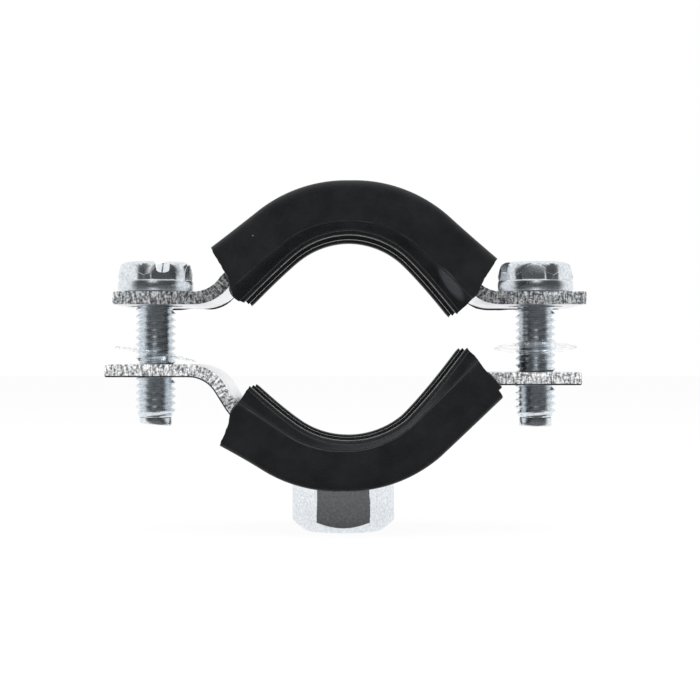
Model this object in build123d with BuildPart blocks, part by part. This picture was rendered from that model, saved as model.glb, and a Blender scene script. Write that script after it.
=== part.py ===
from build123d import *
import os
from math import cos, pi, radians, sin, tan

# Rubber lined pipe clamp, opened on its two screws. Millimetres.
# Origin: centre of the connection nut's end face. +Z up, pipe along Y, ears along X.

# --- steel half bands ---
band_width = 20.0
band_thickness = 1.8
band_arc_radius = 15.3  # middle of the sheet, from the pipe axis of its half
flank_angle = 43.0  # the arc ends and its straight flank starts, from the crown
ear_bend_radius = 5.2  # middle of the sheet
ear_corner_radius = 0.6

# upper half: crown up
opening = 4.3  # from the lower half's pipe axis up to the upper half's
upper_shift = 0.9  # sideways play taken up by the upper half
upper_ear_rise = 3.25  # ear's middle plane above the pipe axis
upper_ear_overhang = 5.5  # past the middle of the hole

# lower half: crown down, its left flank set up steeper than the right one
lower_ear_overhang = 5.75
left_ear_drop = 2.6  # ear's middle plane below the pipe axis
right_ear_drop = 3.7
left_flank_angle = 33.5
left_knee_run = 7.9  # straight flank before the knee
left_knee_angle = 58.0
left_knee_radius = 5.2
upper_left_flank_angle = 39.0
upper_left_knee_run = 9.69
upper_left_knee_angle = 55.0
upper_left_knee_radius = 2.5

# --- screws, M6 ---
thread_radius = 3.0
screw_length = 19.4
screw_tip_radius = 2.35
screw_tip_length = 1.3
screw_spacing = 55.0
screw_shift = 0.33
head_hex_width = 10.0  # across flats
head_hex_height = 3.2
head_corner_trim = 5.6  # the forged corners are rounded off at this radius
head_chamfer_radius = 4.6
head_chamfer_angle = 30.0
flange_radius = 5.55
flange_rim = 0.9
flange_dome = 0.5
slot_width = 2.0
slot_depth = 1.7
cross_width = 1.3
cross_length = 5.4
cross_depth = 2.6
left_slot_angle = -72.0  # from +X
right_slot_angle = -158.5

# --- play between the pieces ---
head_play = 0.3
thread_play = 0.05
ear_hole_play = 0.15
washer_play = 0.06
lining_play = 0.05

# --- rubber lining, a C section pushed onto the band ---
lining_length = 40.8  # along the middle of the sheet
upper_lining_left_run = 9.2  # past the end of the arc, along the left flank
lower_lining_left_run = 7.8
pad_thickness = 1.85
lining_width = 24.0
pad_half_width = 9.9
lining_bevel = 1.05
lip_height = 3.45  # above the outer face of the sheet
lip_mouth_half_width = 8.4
lip_round = 1.1
rib_width = 0.8
rib_height = 0.5
rib_spacing = 8.9
lining_end_skew = 9.0

# --- clear retaining washers ---
washer_radius = 6.0
washer_thickness = 0.5
left_washer_rise = 1.7  # its middle above the lower ear
left_washer_tilt = 10.0  # left edge up
right_washer_rise = 3.7
right_washer_tilt = 6.0  # front edge up

# --- connection nut, M8 ---
nut_height = 9.4  # up to the band's crown
nut_width = 13.0  # across flats
nut_face_radius = 5.7
nut_chamfer_angle = 41.0
nut_bore_radius = 3.32
nut_mouth_radius = 4.1
nut_mouth_angle = 30.0  # countersink, from the end face
nut_relief = 0.2  # height of the counterbore below the band's crown

# --- worked out from the sizes above ---
band_inner_radius = band_arc_radius - band_thickness / 2
band_outer_radius = band_arc_radius + band_thickness / 2
half_width = band_width / 2
pad_radius = band_inner_radius - pad_thickness
lip_radius = band_outer_radius + lip_height
lower_axis_height = nut_height + band_outer_radius
upper_axis_height = lower_axis_height + opening
upper_ear_reach = screw_spacing / 2 + upper_ear_overhang
lower_ear_reach = screw_spacing / 2 + lower_ear_overhang
left_ear_top = lower_axis_height - left_ear_drop + band_thickness / 2
right_ear_top = lower_axis_height - right_ear_drop + band_thickness / 2
left_screw_x = screw_shift - screw_spacing / 2
right_screw_x = screw_shift + screw_spacing / 2
upper_ear_height = upper_axis_height + upper_ear_rise
seat_height = upper_ear_height + band_thickness / 2 + head_play
upper_hole_radius = thread_radius + abs(upper_shift - screw_shift) + ear_hole_play
tapped_hole_radius = thread_radius + thread_play
nut_corner_radius = nut_width / 2 / cos(pi / 6)

# the two halves: x to the right, y from the pipe axis towards the crown
upper_half = Plane(origin=(upper_shift, 0, upper_axis_height), x_dir=(1, 0, 0), z_dir=(0, -1, 0))
lower_half = Plane(origin=(0, 0, lower_axis_height), x_dir=(1, 0, 0), z_dir=(0, 1, 0))


def tangent_point(angle, run=0.0):
    """A point `run` along the straight flank that leaves the arc at `angle` from the crown."""
    turn = radians(angle)
    return (
        band_arc_radius * sin(turn) + run * cos(turn),
        band_arc_radius * cos(turn) - run * sin(turn),
    )


def flank_corner(angle, ear_level):
    """Where a straight flank meets the ear's middle plane."""
    turn = radians(angle)
    return ((band_arc_radius - ear_level * cos(turn)) / sin(turn), ear_level)


def crown_corner(left_angle, right_angle):
    """Where the two flanks would meet beyond the crown."""
    lean = radians(right_angle - left_angle) / 2
    reach = band_arc_radius / cos(radians(left_angle + right_angle) / 2)
    return (reach * sin(lean), reach * cos(lean))


def across(point):
    """The same point on the left side."""
    return (-point[0], point[1])


def knee_corners(flank, run, angle, ear_level):
    """Where a kneed flank meets the ear's middle plane, and where its knee is."""
    knee = tangent_point(flank, run)
    return (knee[0] + (knee[1] - ear_level) / tan(radians(angle)), ear_level), knee


def upper_middle_line():
    """Middle of the upper sheet, from ear to ear, with the knee in its left flank."""
    left_corner, knee = knee_corners(
        upper_left_flank_angle, upper_left_knee_run, upper_left_knee_angle, upper_ear_rise
    )
    FilletPolyline(
        (-upper_ear_reach, upper_ear_rise),
        across(left_corner),
        across(knee),
        crown_corner(upper_left_flank_angle, flank_angle),
        flank_corner(flank_angle, upper_ear_rise),
        (upper_ear_reach, upper_ear_rise),
        radius=[ear_bend_radius, upper_left_knee_radius, band_arc_radius, ear_bend_radius],
    )


def lower_middle_line():
    """Middle of the lower sheet, from ear to ear, with the knee in its left flank."""
    left_corner, knee = knee_corners(
        left_flank_angle, left_knee_run, left_knee_angle, left_ear_drop
    )
    FilletPolyline(
        (-lower_ear_reach, left_ear_drop),
        across(left_corner),
        across(knee),
        crown_corner(left_flank_angle, flank_angle),
        flank_corner(flank_angle, right_ear_drop),
        (lower_ear_reach, right_ear_drop),
        radius=[ear_bend_radius, left_knee_radius, band_arc_radius, ear_bend_radius],
    )


def round_ear_corners(band):
    """Round the four upright corners of a band's ears."""
    uprights = band.edges().filter_by(Axis.Z).group_by(Axis.X)
    fillet(uprights[0] + uprights[-1], radius=ear_corner_radius)


# --- bands ---
with BuildPart() as upper_band:
    with BuildSketch(upper_half):
        with BuildLine():
            upper_middle_line()
        trace(line_width=band_thickness)
    extrude(amount=half_width, both=True)
    round_ear_corners(upper_band)
    # wide holes: the screws pass through the upper ears with play
    with BuildSketch(Plane.XY.offset(upper_ear_height)):
        with Locations((upper_shift, 0)):
            with GridLocations(screw_spacing, 0, 2, 1):
                Circle(upper_hole_radius)
    extrude(amount=band_thickness, both=True, mode=Mode.SUBTRACT)

with BuildPart() as lower_band:
    with BuildSketch(lower_half):
        with BuildLine():
            lower_middle_line()
        trace(line_width=band_thickness)
    extrude(amount=half_width, both=True)
    round_ear_corners(lower_band)
    # tapped holes: the screws thread into the lower ears
    with BuildSketch(Plane.XY.offset(lower_axis_height)):
        with Locations((left_screw_x, 0), (right_screw_x, 0)):
            Circle(tapped_hole_radius)
    extrude(amount=-band_arc_radius, mode=Mode.SUBTRACT)


# --- linings ---
with BuildSketch() as lining_section:
    # right half of the C section: x across the band, y from the pipe axis
    mouth_radius = band_outer_radius + lining_play
    floor_radius = band_inner_radius - lining_play
    groove_half_width = half_width + lining_play
    with BuildLine():
        Polyline(
            (0, pad_radius),
            (pad_half_width, pad_radius),
            (lining_width / 2, pad_radius + lining_bevel),
            (lining_width / 2, lip_radius),
            (lip_mouth_half_width, lip_radius),
            (lip_mouth_half_width, mouth_radius),
            (groove_half_width, mouth_radius),
            (groove_half_width, floor_radius),
            (0, floor_radius),
            close=True,
        )
    make_face()
    fillet(lining_section.vertices().group_by(Axis.Y)[-1], radius=lip_round)
    mirror(about=Plane.YZ)
    # ribs that grip the pipe
    with Locations((0, pad_radius)):
        with GridLocations(rib_spacing, 0, 3, 1):
            Rectangle(rib_width, 2 * rib_height)


def station(half, angle, run=0.0):
    """Plane square to the band: x across it, y away from the pipe, z along it to the right."""
    turn = radians(angle)
    along = half.x_dir * cos(turn) - half.y_dir * sin(turn)
    return Plane(origin=half.origin + along * run, x_dir=-half.z_dir, z_dir=along)


def make_lining(half, left_angle, right_angle, left_run, middle_line):
    """The lining's section turned round the arc and run out along both straight flanks."""
    arc_length = band_arc_radius * radians(left_angle + right_angle)
    right_run = lining_length - arc_length - left_run
    spare = lip_radius * tan(radians(lining_end_skew))
    with BuildPart() as lining:
        with BuildSketch(station(half, -left_angle)):
            add(lining_section.sketch)
        revolve(axis=Axis(half.origin, -half.z_dir), revolution_arc=left_angle + right_angle)
        with BuildSketch(station(half, -left_angle)):
            add(lining_section.sketch)
        extrude(amount=-left_run - spare)
        with BuildSketch(station(half, right_angle)):
            add(lining_section.sketch)
        extrude(amount=right_run + spare)
        # both ends are cut a little off square, so that the pad stands out further than the lips
        skew = radians(lining_end_skew)
        for angle, run, side in ((-left_angle, -left_run, -1), (right_angle, right_run, 1)):
            square = station(half, angle, run)
            middle = square.origin + square.y_dir * band_arc_radius
            facing = square.z_dir * side * cos(skew) + square.y_dir * sin(skew)
            split(bisect_by=Plane(origin=middle, x_dir=square.x_dir, z_dir=facing), keep=Keep.BOTTOM)
        # room for the band where it bends away inside the lining
        with BuildSketch(half):
            with BuildLine():
                middle_line()
            trace(line_width=band_thickness + 2 * lining_play)
        extrude(amount=half_width + lining_play, both=True, mode=Mode.SUBTRACT)
    return lining


upper_lining = make_lining(
    upper_half, upper_left_flank_angle, flank_angle, upper_lining_left_run, upper_middle_line
)
lower_lining = make_lining(
    lower_half, left_flank_angle, flank_angle, lower_lining_left_run, lower_middle_line
)


# --- screws ---
def make_screw(screw_x, slot_angle):
    """A one-piece hexagon flange screw, its slot turned to `slot_angle` from +X."""
    turn = radians(slot_angle)
    facing = (cos(turn), sin(turn), 0)
    hex_foot = seat_height + flange_rim + flange_dome
    head_top = seat_height + flange_rim + flange_dome + head_hex_height
    tip_height = seat_height - screw_length
    side = Plane(origin=(screw_x, 0, 0), x_dir=(1, 0, 0), z_dir=(0, -1, 0))
    spindle = Axis((screw_x, 0, 0), (0, 0, 1))
    with BuildPart() as screw:
        # hexagon with rounded corners and a chamfered top
        with BuildSketch(Plane(origin=(screw_x, 0, seat_height), x_dir=facing)):
            RegularPolygon(head_hex_width / 2, 6, major_radius=False, rotation=30)
        extrude(amount=head_top - seat_height)
        chamfer_drop = (head_corner_trim - head_chamfer_radius) * tan(radians(head_chamfer_angle))
        with BuildSketch(side):
            with BuildLine():
                Polyline(
                    (0, seat_height),
                    (head_corner_trim, seat_height),
                    (head_corner_trim, head_top - chamfer_drop),
                    (head_chamfer_radius, head_top),
                    (0, head_top),
                    close=True,
                )
            make_face()
        revolve(axis=spindle, mode=Mode.INTERSECT)
        # flange, shank and tip
        with BuildSketch(side):
            with BuildLine():
                Polyline(
                    (0, hex_foot),
                    (head_hex_width / 2, hex_foot),
                    (flange_radius, seat_height + flange_rim),
                    (flange_radius, seat_height),
                    (thread_radius, seat_height),
                    (thread_radius, tip_height + screw_tip_length + thread_radius - screw_tip_radius),
                    (screw_tip_radius, tip_height + screw_tip_length),
                    (screw_tip_radius, tip_height),
                    (0, tip_height),
                    close=True,
                )
            make_face()
        revolve(axis=spindle)
        # slot right across the head, and a cross recess in its middle
        with BuildSketch(Plane(origin=(screw_x, 0, head_top), x_dir=facing)):
            Rectangle(2 * head_corner_trim, slot_width)
        extrude(amount=-slot_depth, mode=Mode.SUBTRACT)
        with BuildSketch(Plane(origin=(screw_x, 0, head_top), x_dir=facing)):
            Rectangle(cross_width, cross_length)
            Rectangle(cross_length, cross_width)
        extrude(amount=-cross_depth, taper=8, mode=Mode.SUBTRACT)
    return screw


left_screw = make_screw(left_screw_x, left_slot_angle)
right_screw = make_screw(right_screw_x, right_slot_angle)


# --- clear retaining washers ---
def make_washer(screw_x, height, tilted_normal):
    """A thin disc tilted on the screw, with a hole along the screw."""
    with BuildPart() as washer:
        with BuildSketch(Plane(origin=(screw_x, 0, height), z_dir=tilted_normal)):
            Circle(washer_radius)
        extrude(amount=washer_thickness / 2, both=True)
        with BuildSketch(Plane.XY.offset(height)):
            with Locations((screw_x, 0)):
                Circle(thread_radius + washer_play)
        extrude(amount=washer_radius, both=True, mode=Mode.SUBTRACT)
    return washer


left_lean = radians(left_washer_tilt)
right_lean = radians(right_washer_tilt)
left_washer = make_washer(
    left_screw_x, left_ear_top + left_washer_rise, (sin(left_lean), 0, cos(left_lean))
)
right_washer = make_washer(
    right_screw_x, right_ear_top + right_washer_rise, (0, sin(right_lean), cos(right_lean))
)


# --- connection nut ---
with BuildPart() as connection_nut:
    with BuildSketch():
        RegularPolygon(nut_width / 2, 6, major_radius=False)
    extrude(amount=lower_axis_height)
    # its top is shaped to the band, where the weld fills the gap
    with BuildSketch(Plane.XZ):
        with Locations((0, lower_axis_height)):
            Circle(band_outer_radius)
    extrude(amount=nut_corner_radius, both=True, mode=Mode.SUBTRACT)
    # turned chamfer round the end face
    beyond = nut_corner_radius + 1
    with BuildSketch(Plane.XZ):
        with BuildLine():
            Polyline(
                (nut_face_radius, 0),
                (beyond, 0),
                (beyond, (beyond - nut_face_radius) * tan(radians(nut_chamfer_angle))),
                close=True,
            )
        make_face()
    revolve(axis=Axis.Z, mode=Mode.SUBTRACT)
    # threaded bore, countersunk at the end face and relieved below the band
    mouth_depth = (nut_mouth_radius - nut_bore_radius) * tan(radians(nut_mouth_angle))
    relief_level = nut_height - nut_relief
    with BuildSketch(Plane.XZ):
        with BuildLine():
            Polyline(
                (0, 0),
                (nut_mouth_radius, 0),
                (nut_bore_radius, mouth_depth),
                (nut_bore_radius, relief_level - mouth_depth),
                (nut_mouth_radius, relief_level),
                (nut_mouth_radius, lower_axis_height),
                (0, lower_axis_height),
                close=True,
            )
        make_face()
    revolve(axis=Axis.Z, mode=Mode.SUBTRACT)

# --- write each piece ---
upper_band.part.label = "upper_band"
lower_band.part.label = "lower_band"
upper_lining.part.label = "upper_lining"
lower_lining.part.label = "lower_lining"
left_screw.part.label = "left_screw"
right_screw.part.label = "right_screw"
left_washer.part.label = "left_retaining_washer"
right_washer.part.label = "right_retaining_washer"
connection_nut.part.label = "connection_nut"

os.makedirs("parts", exist_ok=True)
export_step(upper_band.part, "parts/upper_band.step")
export_step(lower_band.part, "parts/lower_band.step")
export_step(upper_lining.part, "parts/upper_lining.step")
export_step(lower_lining.part, "parts/lower_lining.step")
export_step(left_screw.part, "parts/left_screw.step")
export_step(right_screw.part, "parts/right_screw.step")
export_step(left_washer.part, "parts/left_retaining_washer.step")
export_step(right_washer.part, "parts/right_retaining_washer.step")
export_step(connection_nut.part, "parts/connection_nut.step")
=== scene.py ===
"""Looks of the rubber lined pipe clamp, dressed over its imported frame.

Sizes are in millimetres and are turned into metres when a mesh is finished. The axes are the
frame's: +Z up from the connection nut, X from the left ears to the right ears, and Y along the
pipe with the front at -Y.
"""

import logging
import math
from dataclasses import dataclass, field
from enum import Enum
from functools import partial
from typing import Callable

import bmesh
import bpy
from mathutils import Matrix, Vector, noise
from mathutils.geometry import tessellate_polygon

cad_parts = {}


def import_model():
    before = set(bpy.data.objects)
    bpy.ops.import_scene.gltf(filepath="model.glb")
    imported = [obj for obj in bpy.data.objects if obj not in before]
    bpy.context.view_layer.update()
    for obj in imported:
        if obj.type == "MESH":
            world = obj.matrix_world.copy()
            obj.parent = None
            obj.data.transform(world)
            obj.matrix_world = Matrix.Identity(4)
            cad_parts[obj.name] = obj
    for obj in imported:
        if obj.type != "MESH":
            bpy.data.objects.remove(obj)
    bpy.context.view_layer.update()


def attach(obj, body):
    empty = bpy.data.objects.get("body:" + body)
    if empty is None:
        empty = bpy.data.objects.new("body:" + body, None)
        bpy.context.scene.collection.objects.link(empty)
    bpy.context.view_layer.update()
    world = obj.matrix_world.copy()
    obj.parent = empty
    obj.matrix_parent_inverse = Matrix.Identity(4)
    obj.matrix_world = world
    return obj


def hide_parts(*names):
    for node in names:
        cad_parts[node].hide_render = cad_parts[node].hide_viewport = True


MM = 0.001
MERGE_GAP = 2e-7  # metres
SLIVER = 1e-8  # metres
SHEET_THICKNESS = 1.8
log = logging.getLogger("pipe_clamp")

Point2 = tuple[float, float]
Point3 = tuple[float, float, float]
Colour = tuple[float, float, float, float]
AddNode = Callable[..., bpy.types.Node]
Ring = Callable[[float], Point2]


def grey(level: float, blue: float = 0.0) -> Colour:
    """A grey of one linear level, cooler as `blue` grows."""
    return (level * (1 - blue), level, level * (1 + blue), 1.0)


# --------------------------------------------------------------------------------------------
# shader and mesh helpers
# --------------------------------------------------------------------------------------------


def add_node(
    tree: bpy.types.NodeTree, kind: str, sockets: dict | None = None, **settings: object
) -> bpy.types.Node:
    """Adds one node to a tree.

    Args:
        tree: the tree at work.
        kind: Blender's name for the node's type.
        sockets: a constant or another node's output for each named or numbered input.
        settings: the node's own properties.

    Returns:
        The node.
    """
    made = tree.nodes.new(kind)
    for name, value in settings.items():
        setattr(made, name, value)
    for name, value in (sockets or {}).items():
        if isinstance(value, bpy.types.NodeSocket):
            tree.links.new(value, made.inputs[name])
        else:
            made.inputs[name].default_value = value
    return made


class Shader:
    """A material's nodes, added one at a time round one Principled BSDF."""

    def __init__(self, name: str, **sockets: object) -> None:
        """Starts the material.

        Args:
            name: the material's name.
            sockets: constants for the Principled BSDF, with underscores for spaces.
        """
        self.material = bpy.data.materials.new(name)
        self.material.use_nodes = True
        self.tree = self.material.node_tree
        self.tree.nodes.clear()
        self.output = self.tree.nodes.new("ShaderNodeOutputMaterial")
        constants = {key.replace("_", " "): value for key, value in sockets.items()}
        self.surface = self.add("ShaderNodeBsdfPrincipled", constants)
        self.tree.links.new(self.surface.outputs["BSDF"], self.output.inputs["Surface"])

    def add(self, kind: str, sockets: dict | None = None, **settings: object) -> bpy.types.Node:
        """Adds one node to the material, as add_node does."""
        return add_node(self.tree, kind, sockets, **settings)

    def place(self, source: str, scale: Point3) -> bpy.types.NodeSocket:
        """Texture coordinates, stretched.

        Args:
            source: "Object" for metres in the frame, or "UV" for millimetres on the sheet.
            scale: pattern repeats per unit along each coordinate.

        Returns:
            The vector output.
        """
        where = self.add("ShaderNodeTexCoord")
        mapped = self.add("ShaderNodeMapping", {"Vector": where.outputs[source], "Scale": scale})
        return mapped.outputs["Vector"]

    def speckle(
        self, where: bpy.types.NodeSocket, scale: float, detail: float = 3.0, rough: float = 0.6
    ) -> bpy.types.NodeSocket:
        """Noise from 0 to 1 at the given scale."""
        values = {"Vector": where, "Scale": scale, "Detail": detail, "Roughness": rough}
        return self.add("ShaderNodeTexNoise", values).outputs["Fac"]

    def ramp(
        self, factor: bpy.types.NodeSocket, stops: list[tuple[float, Colour]]
    ) -> bpy.types.NodeSocket:
        """Colours spread over a factor.

        Args:
            factor: the pattern.
            stops: each colour with its place on the factor.

        Returns:
            The colour output.
        """
        made = self.add("ShaderNodeValToRGB", {"Fac": factor})
        points = made.color_ramp.elements
        while len(points) < len(stops):
            points.new(0.5)
        for point, (position, colour) in zip(points, stops):
            point.position = position
            point.color = colour
        return made.outputs["Color"]

    def spread(
        self,
        factor: bpy.types.NodeSocket,
        low: float,
        high: float,
        start: float = 0.0,
        stop: float = 1.0,
    ) -> bpy.types.NodeSocket:
        """A factor from start to stop mapped onto low to high, and held there beyond.

        Args:
            factor: the pattern.
            low: the value at the start.
            high: the value at the stop.
            start: where on the factor the change starts.
            stop: where on the factor it is done.

        Returns:
            The value's output.
        """
        values = {
            "Value": factor,
            "From Min": start,
            "From Max": stop,
            "To Min": low,
            "To Max": high,
        }
        return self.add("ShaderNodeMapRange", values).outputs["Result"]

    def bump(self, heights: list[tuple[bpy.types.NodeSocket, float]]) -> None:
        """Relief on the surface.

        Args:
            heights: each pattern with its full height in millimetres.
        """
        last = None
        for pattern, height in heights:
            values = {"Height": pattern, "Distance": height * MM, "Strength": 1.0}
            if last is not None:
                values["Normal"] = last
            last = self.add("ShaderNodeBump", values).outputs["Normal"]
        self.link(last, "Normal")

    def link(self, output: bpy.types.NodeSocket, socket: str) -> None:
        """Feeds an output to a named socket of the Principled BSDF."""
        self.tree.links.new(output, self.surface.inputs[socket])


@dataclass
class MeshDraft:
    """A mesh in the making, in millimetres, with a UV in millimetres at each face corner."""

    points: list[Vector] = field(default_factory=list)
    faces: list[tuple[int, ...]] = field(default_factory=list)
    corners: list[list[Point2]] = field(default_factory=list)
    finishes: list[int] = field(default_factory=list)

    def add_row(self, row: list[Vector]) -> list[int]:
        """Adds points.

        Args:
            row: the points.

        Returns:
            Their numbers.
        """
        first = len(self.points)
        self.points.extend(row)
        return list(range(first, first + len(row)))

    def add_face(self, numbers: tuple[int, ...], uvs: list[Point2], finish: int = 0) -> None:
        """Adds one face.

        Args:
            numbers: its points' numbers.
            uvs: a UV for each of its corners.
            finish: its material's number.
        """
        self.faces.append(numbers)
        self.corners.append(uvs)
        self.finishes.append(finish)

    def add_grid(
        self,
        rows: list[list[int]],
        uv: Callable[[int, int], Point2],
        closed: bool = False,
        finish: Callable[[int, int], int] = lambda row, column: 0,
    ) -> None:
        """Joins rows of points into quads.

        Args:
            rows: point numbers, the same count in each row.
            uv: gives the UV of a row and a column.
            closed: whether the last column joins the first.
            finish: gives the material number of a cell.
        """
        width = len(rows[0])
        for i in range(len(rows) - 1):
            for j in range(width if closed else width - 1):
                k = (j + 1) % width
                quad = (rows[i][j], rows[i][k], rows[i + 1][k], rows[i + 1][j])
                uvs = [uv(i, j), uv(i, j + 1), uv(i + 1, j + 1), uv(i + 1, j)]
                self.add_face(quad, uvs, finish(i, j))

    def to_object(
        self, name: str, materials: list[bpy.types.Material], sharp: float = 32.0
    ) -> bpy.types.Object:
        """Makes the Blender object, in metres.

        Args:
            name: the piece's name.
            materials: its finishes, by number.
            sharp: the angle in degrees above which an edge is left hard.

        Returns:
            The object, shaded smooth between its hard edges.
        """
        mesh = bpy.data.meshes.new(name)
        mesh.from_pydata([point * MM for point in self.points], [], self.faces)
        layer = mesh.uv_layers.new(name="UVMap")
        for polygon, uvs, finish in zip(mesh.polygons, self.corners, self.finishes):
            polygon.material_index = finish
            for loop, uv in zip(polygon.loop_indices, uvs):
                layer.data[loop].uv = uv
        for material in materials:
            mesh.materials.append(material)
        tidy(mesh)
        mesh.shade_smooth()
        mesh.set_sharp_from_angle(angle=math.radians(sharp))
        made = bpy.data.objects.new(name, mesh)
        bpy.context.scene.collection.objects.link(made)
        return made


def tidy(mesh: bpy.types.Mesh) -> None:
    """Merges points that meet and turns every face outwards.

    Args:
        mesh: the mesh, in metres.
    """
    work = bmesh.new()
    work.from_mesh(mesh)
    bmesh.ops.remove_doubles(work, verts=work.verts, dist=MERGE_GAP)
    bmesh.ops.dissolve_degenerate(work, edges=work.edges, dist=SLIVER)
    bmesh.ops.recalc_face_normals(work, faces=work.faces)
    work.to_mesh(mesh)
    work.free()


def cut(target: bpy.types.Object, cutters: list[bpy.types.Object], sharp: float) -> None:
    """Cuts shapes out of a mesh and deletes them.

    Args:
        target: the object that is cut.
        cutters: closed shapes.
        sharp: the angle in degrees above which an edge is left hard.
    """
    for cutter in cutters:
        step = target.modifiers.new("cut", "BOOLEAN")
        step.operation = "DIFFERENCE"
        step.solver = "MANIFOLD"
        step.object = cutter
    graph = bpy.context.evaluated_depsgraph_get()
    shaped = bpy.data.meshes.new_from_object(target.evaluated_get(graph))
    target.modifiers.clear()
    shaped.name = target.data.name
    target.data = shaped
    shaped.shade_smooth()
    shaped.set_sharp_from_angle(angle=math.radians(sharp))
    for cutter in cutters:
        bpy.data.objects.remove(cutter)


def wander(*where: float) -> float:
    """Smooth noise from about -1 to 1, the same on every run."""
    x, y, z = (tuple(where) + (0.0, 0.0))[:3]
    return noise.noise(Vector((x + 0.37, y + 1.73, z + 4.11)))


def ease(value: float) -> float:
    """A smooth step from 0 to 1."""
    t = min(max(value, 0.0), 1.0)
    return t * t * (3 - 2 * t)


# --------------------------------------------------------------------------------------------
# finishes
# --------------------------------------------------------------------------------------------


@dataclass(frozen=True)
class GalvanisedSheet:
    """Zinc plated strip: bright, with faint rolling lines along it and a mottled bloom."""

    name: str = "galvanised_sheet"
    bright: Colour = grey(0.94, 0.012)
    bloom: Colour = (0.8, 0.79, 0.83, 1.0)
    rolling_lines_per_mm: float = 7.0
    bloom_per_mm: float = 0.45

    def build(self) -> bpy.types.Material:
        """Makes the material.

        Returns:
            The finished material.
        """
        shader = Shader(self.name, Metallic=1.0, Roughness=0.3)
        lines = shader.speckle(shader.place("UV", (0.06, self.rolling_lines_per_mm, 1.0)), 1.0)
        cloud = shader.speckle(shader.place("UV", (self.bloom_per_mm,) * 3), 1.0, 5.0)
        grain = shader.speckle(shader.place("UV", (5.0, 5.0, 5.0)), 1.0, 2.0)
        shader.link(shader.ramp(cloud, [(0.42, self.bright), (0.78, self.bloom)]), "Base Color")
        shader.link(shader.spread(cloud, 0.2, 0.42), "Roughness")
        shader.bump([(lines, 0.012), (grain, 0.01)])
        return shader.material


@dataclass(frozen=True)
class ShearedEdge:
    """The edge left by the press: torn streaks across the sheet's thickness, plated over.

    Painted shade makes it a little darker in the bends than in the ears: the bend factor holds
    up to `bend_start` from the clamp's middle, and is gone at `bend_stop`.
    """

    name: str = "sheared_edge"
    dark: Colour = grey(0.07, 0.05)
    middle: Colour = grey(0.36, 0.04)
    light: Colour = grey(0.92, 0.02)
    streaks_per_mm: float = 3.4
    metallic: float = 0.55
    bend_painted_shade: float = 0.66
    bend_start: float = 22.5
    bend_stop: float = 29.0

    def build(self) -> bpy.types.Material:
        """Makes the material.

        Returns:
            The finished material.
        """
        shader = Shader(self.name, Metallic=self.metallic, Roughness=0.45)
        streaks = shader.speckle(shader.place("UV", (self.streaks_per_mm, 0.8, 1.0)), 1.0)
        chips = shader.speckle(shader.place("UV", (2.6, 2.9, 1.0)), 1.0, 3.0, 0.65)
        mixed = shader.add("ShaderNodeMath", {0: streaks, 1: chips}, operation="ADD").outputs[0]
        torn = shader.spread(mixed, 0.0, 1.0, 0.72, 1.28)
        stops = [(0.22, self.dark), (0.5, self.middle), (0.78, self.light)]
        along = shader.add(
            "ShaderNodeSeparateXYZ", {"Vector": shader.place("Object", (1 / MM,) * 3)}
        )
        away = shader.add("ShaderNodeMath", {0: along.outputs["X"]}, operation="ABSOLUTE")
        # painted shade: the edge's colour is scaled down in the bends
        shade = shader.spread(
            away.outputs[0], self.bend_painted_shade, 1.0, self.bend_start, self.bend_stop
        )
        toned = shader.add(
            "ShaderNodeVectorMath",
            {0: shader.ramp(torn, stops), "Scale": shade},
            operation="SCALE",
        )
        shader.link(toned.outputs["Vector"], "Base Color")
        shader.link(shader.spread(chips, 0.62, 0.26), "Roughness")
        shader.bump([(streaks, 0.07), (chips, 0.05)])
        return shader.material


@dataclass(frozen=True)
class PaintedDarkEdge:
    """Dark and rough: painted shadow on the burrs, painted dark reflection on a rolled edge."""

    name: str = "painted_dark_edge"
    dark: Colour = grey(0.012, 0.05)
    light: Colour = grey(0.1, 0.05)

    def build(self) -> bpy.types.Material:
        """Makes the material.

        Returns:
            The finished material.
        """
        shader = Shader(self.name, Metallic=0.4, Roughness=0.6)
        tears = shader.speckle(shader.place("UV", (0.8, 2.0, 1.0)), 1.0, 3.0)
        shader.link(shader.ramp(tears, [(0.45, self.dark), (0.8, self.light)]), "Base Color")
        shader.bump([(tears, 0.04)])
        return shader.material


@dataclass(frozen=True)
class BrightZinc:
    """Blue-white zinc plate on the screws: glossy, with fine tool marks and small nicks."""

    name: str = "bright_zinc"
    bright: Colour = (0.84, 0.88, 0.91, 1.0)
    dull: Colour = (0.58, 0.64, 0.69, 1.0)
    marks_per_mm: float = 2.4

    def build(self) -> bpy.types.Material:
        """Makes the material.

        Returns:
            The finished material.
        """
        shader = Shader(self.name, Metallic=1.0, Roughness=0.2)
        body = shader.place("Object", (1 / MM,) * 3)
        cloud = shader.speckle(body, self.marks_per_mm, 5.0)
        nicks = shader.speckle(body, 9.0, 2.0)
        shader.link(shader.ramp(cloud, [(0.38, self.bright), (0.72, self.dull)]), "Base Color")
        shader.link(shader.spread(cloud, 0.12, 0.36), "Roughness")
        shader.bump([(cloud, 0.008), (nicks, 0.003)])
        return shader.material


@dataclass(frozen=True)
class SpeckledZinc:
    """Plated bar steel of the connection nut, with a fine dark and light speckle."""

    name: str = "speckled_zinc"
    dark: Colour = grey(0.62, 0.07)
    light: Colour = grey(0.96, 0.03)
    speckles_per_mm: float = 2.6

    def build(self) -> bpy.types.Material:
        """Makes the material.

        Returns:
            The finished material.
        """
        shader = Shader(self.name, Metallic=1.0, Roughness=0.32)
        body = shader.place("Object", (1 / MM,) * 3)
        drawn = shader.place("Object", (1 / MM, 1 / MM, 0.25 / MM))
        speckles = shader.speckle(body, self.speckles_per_mm, 4.0, 0.75)
        bars = shader.speckle(drawn, 2.2, 3.0)
        stops = [(0.34, self.dark), (0.66, self.light)]
        shader.link(shader.ramp(speckles, stops), "Base Color")
        shader.link(shader.spread(speckles, 0.05, 0.5, 0.55, 0.76), "Roughness")
        shader.bump([(speckles, 0.004), (bars, 0.003)])
        return shader.material


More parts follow.
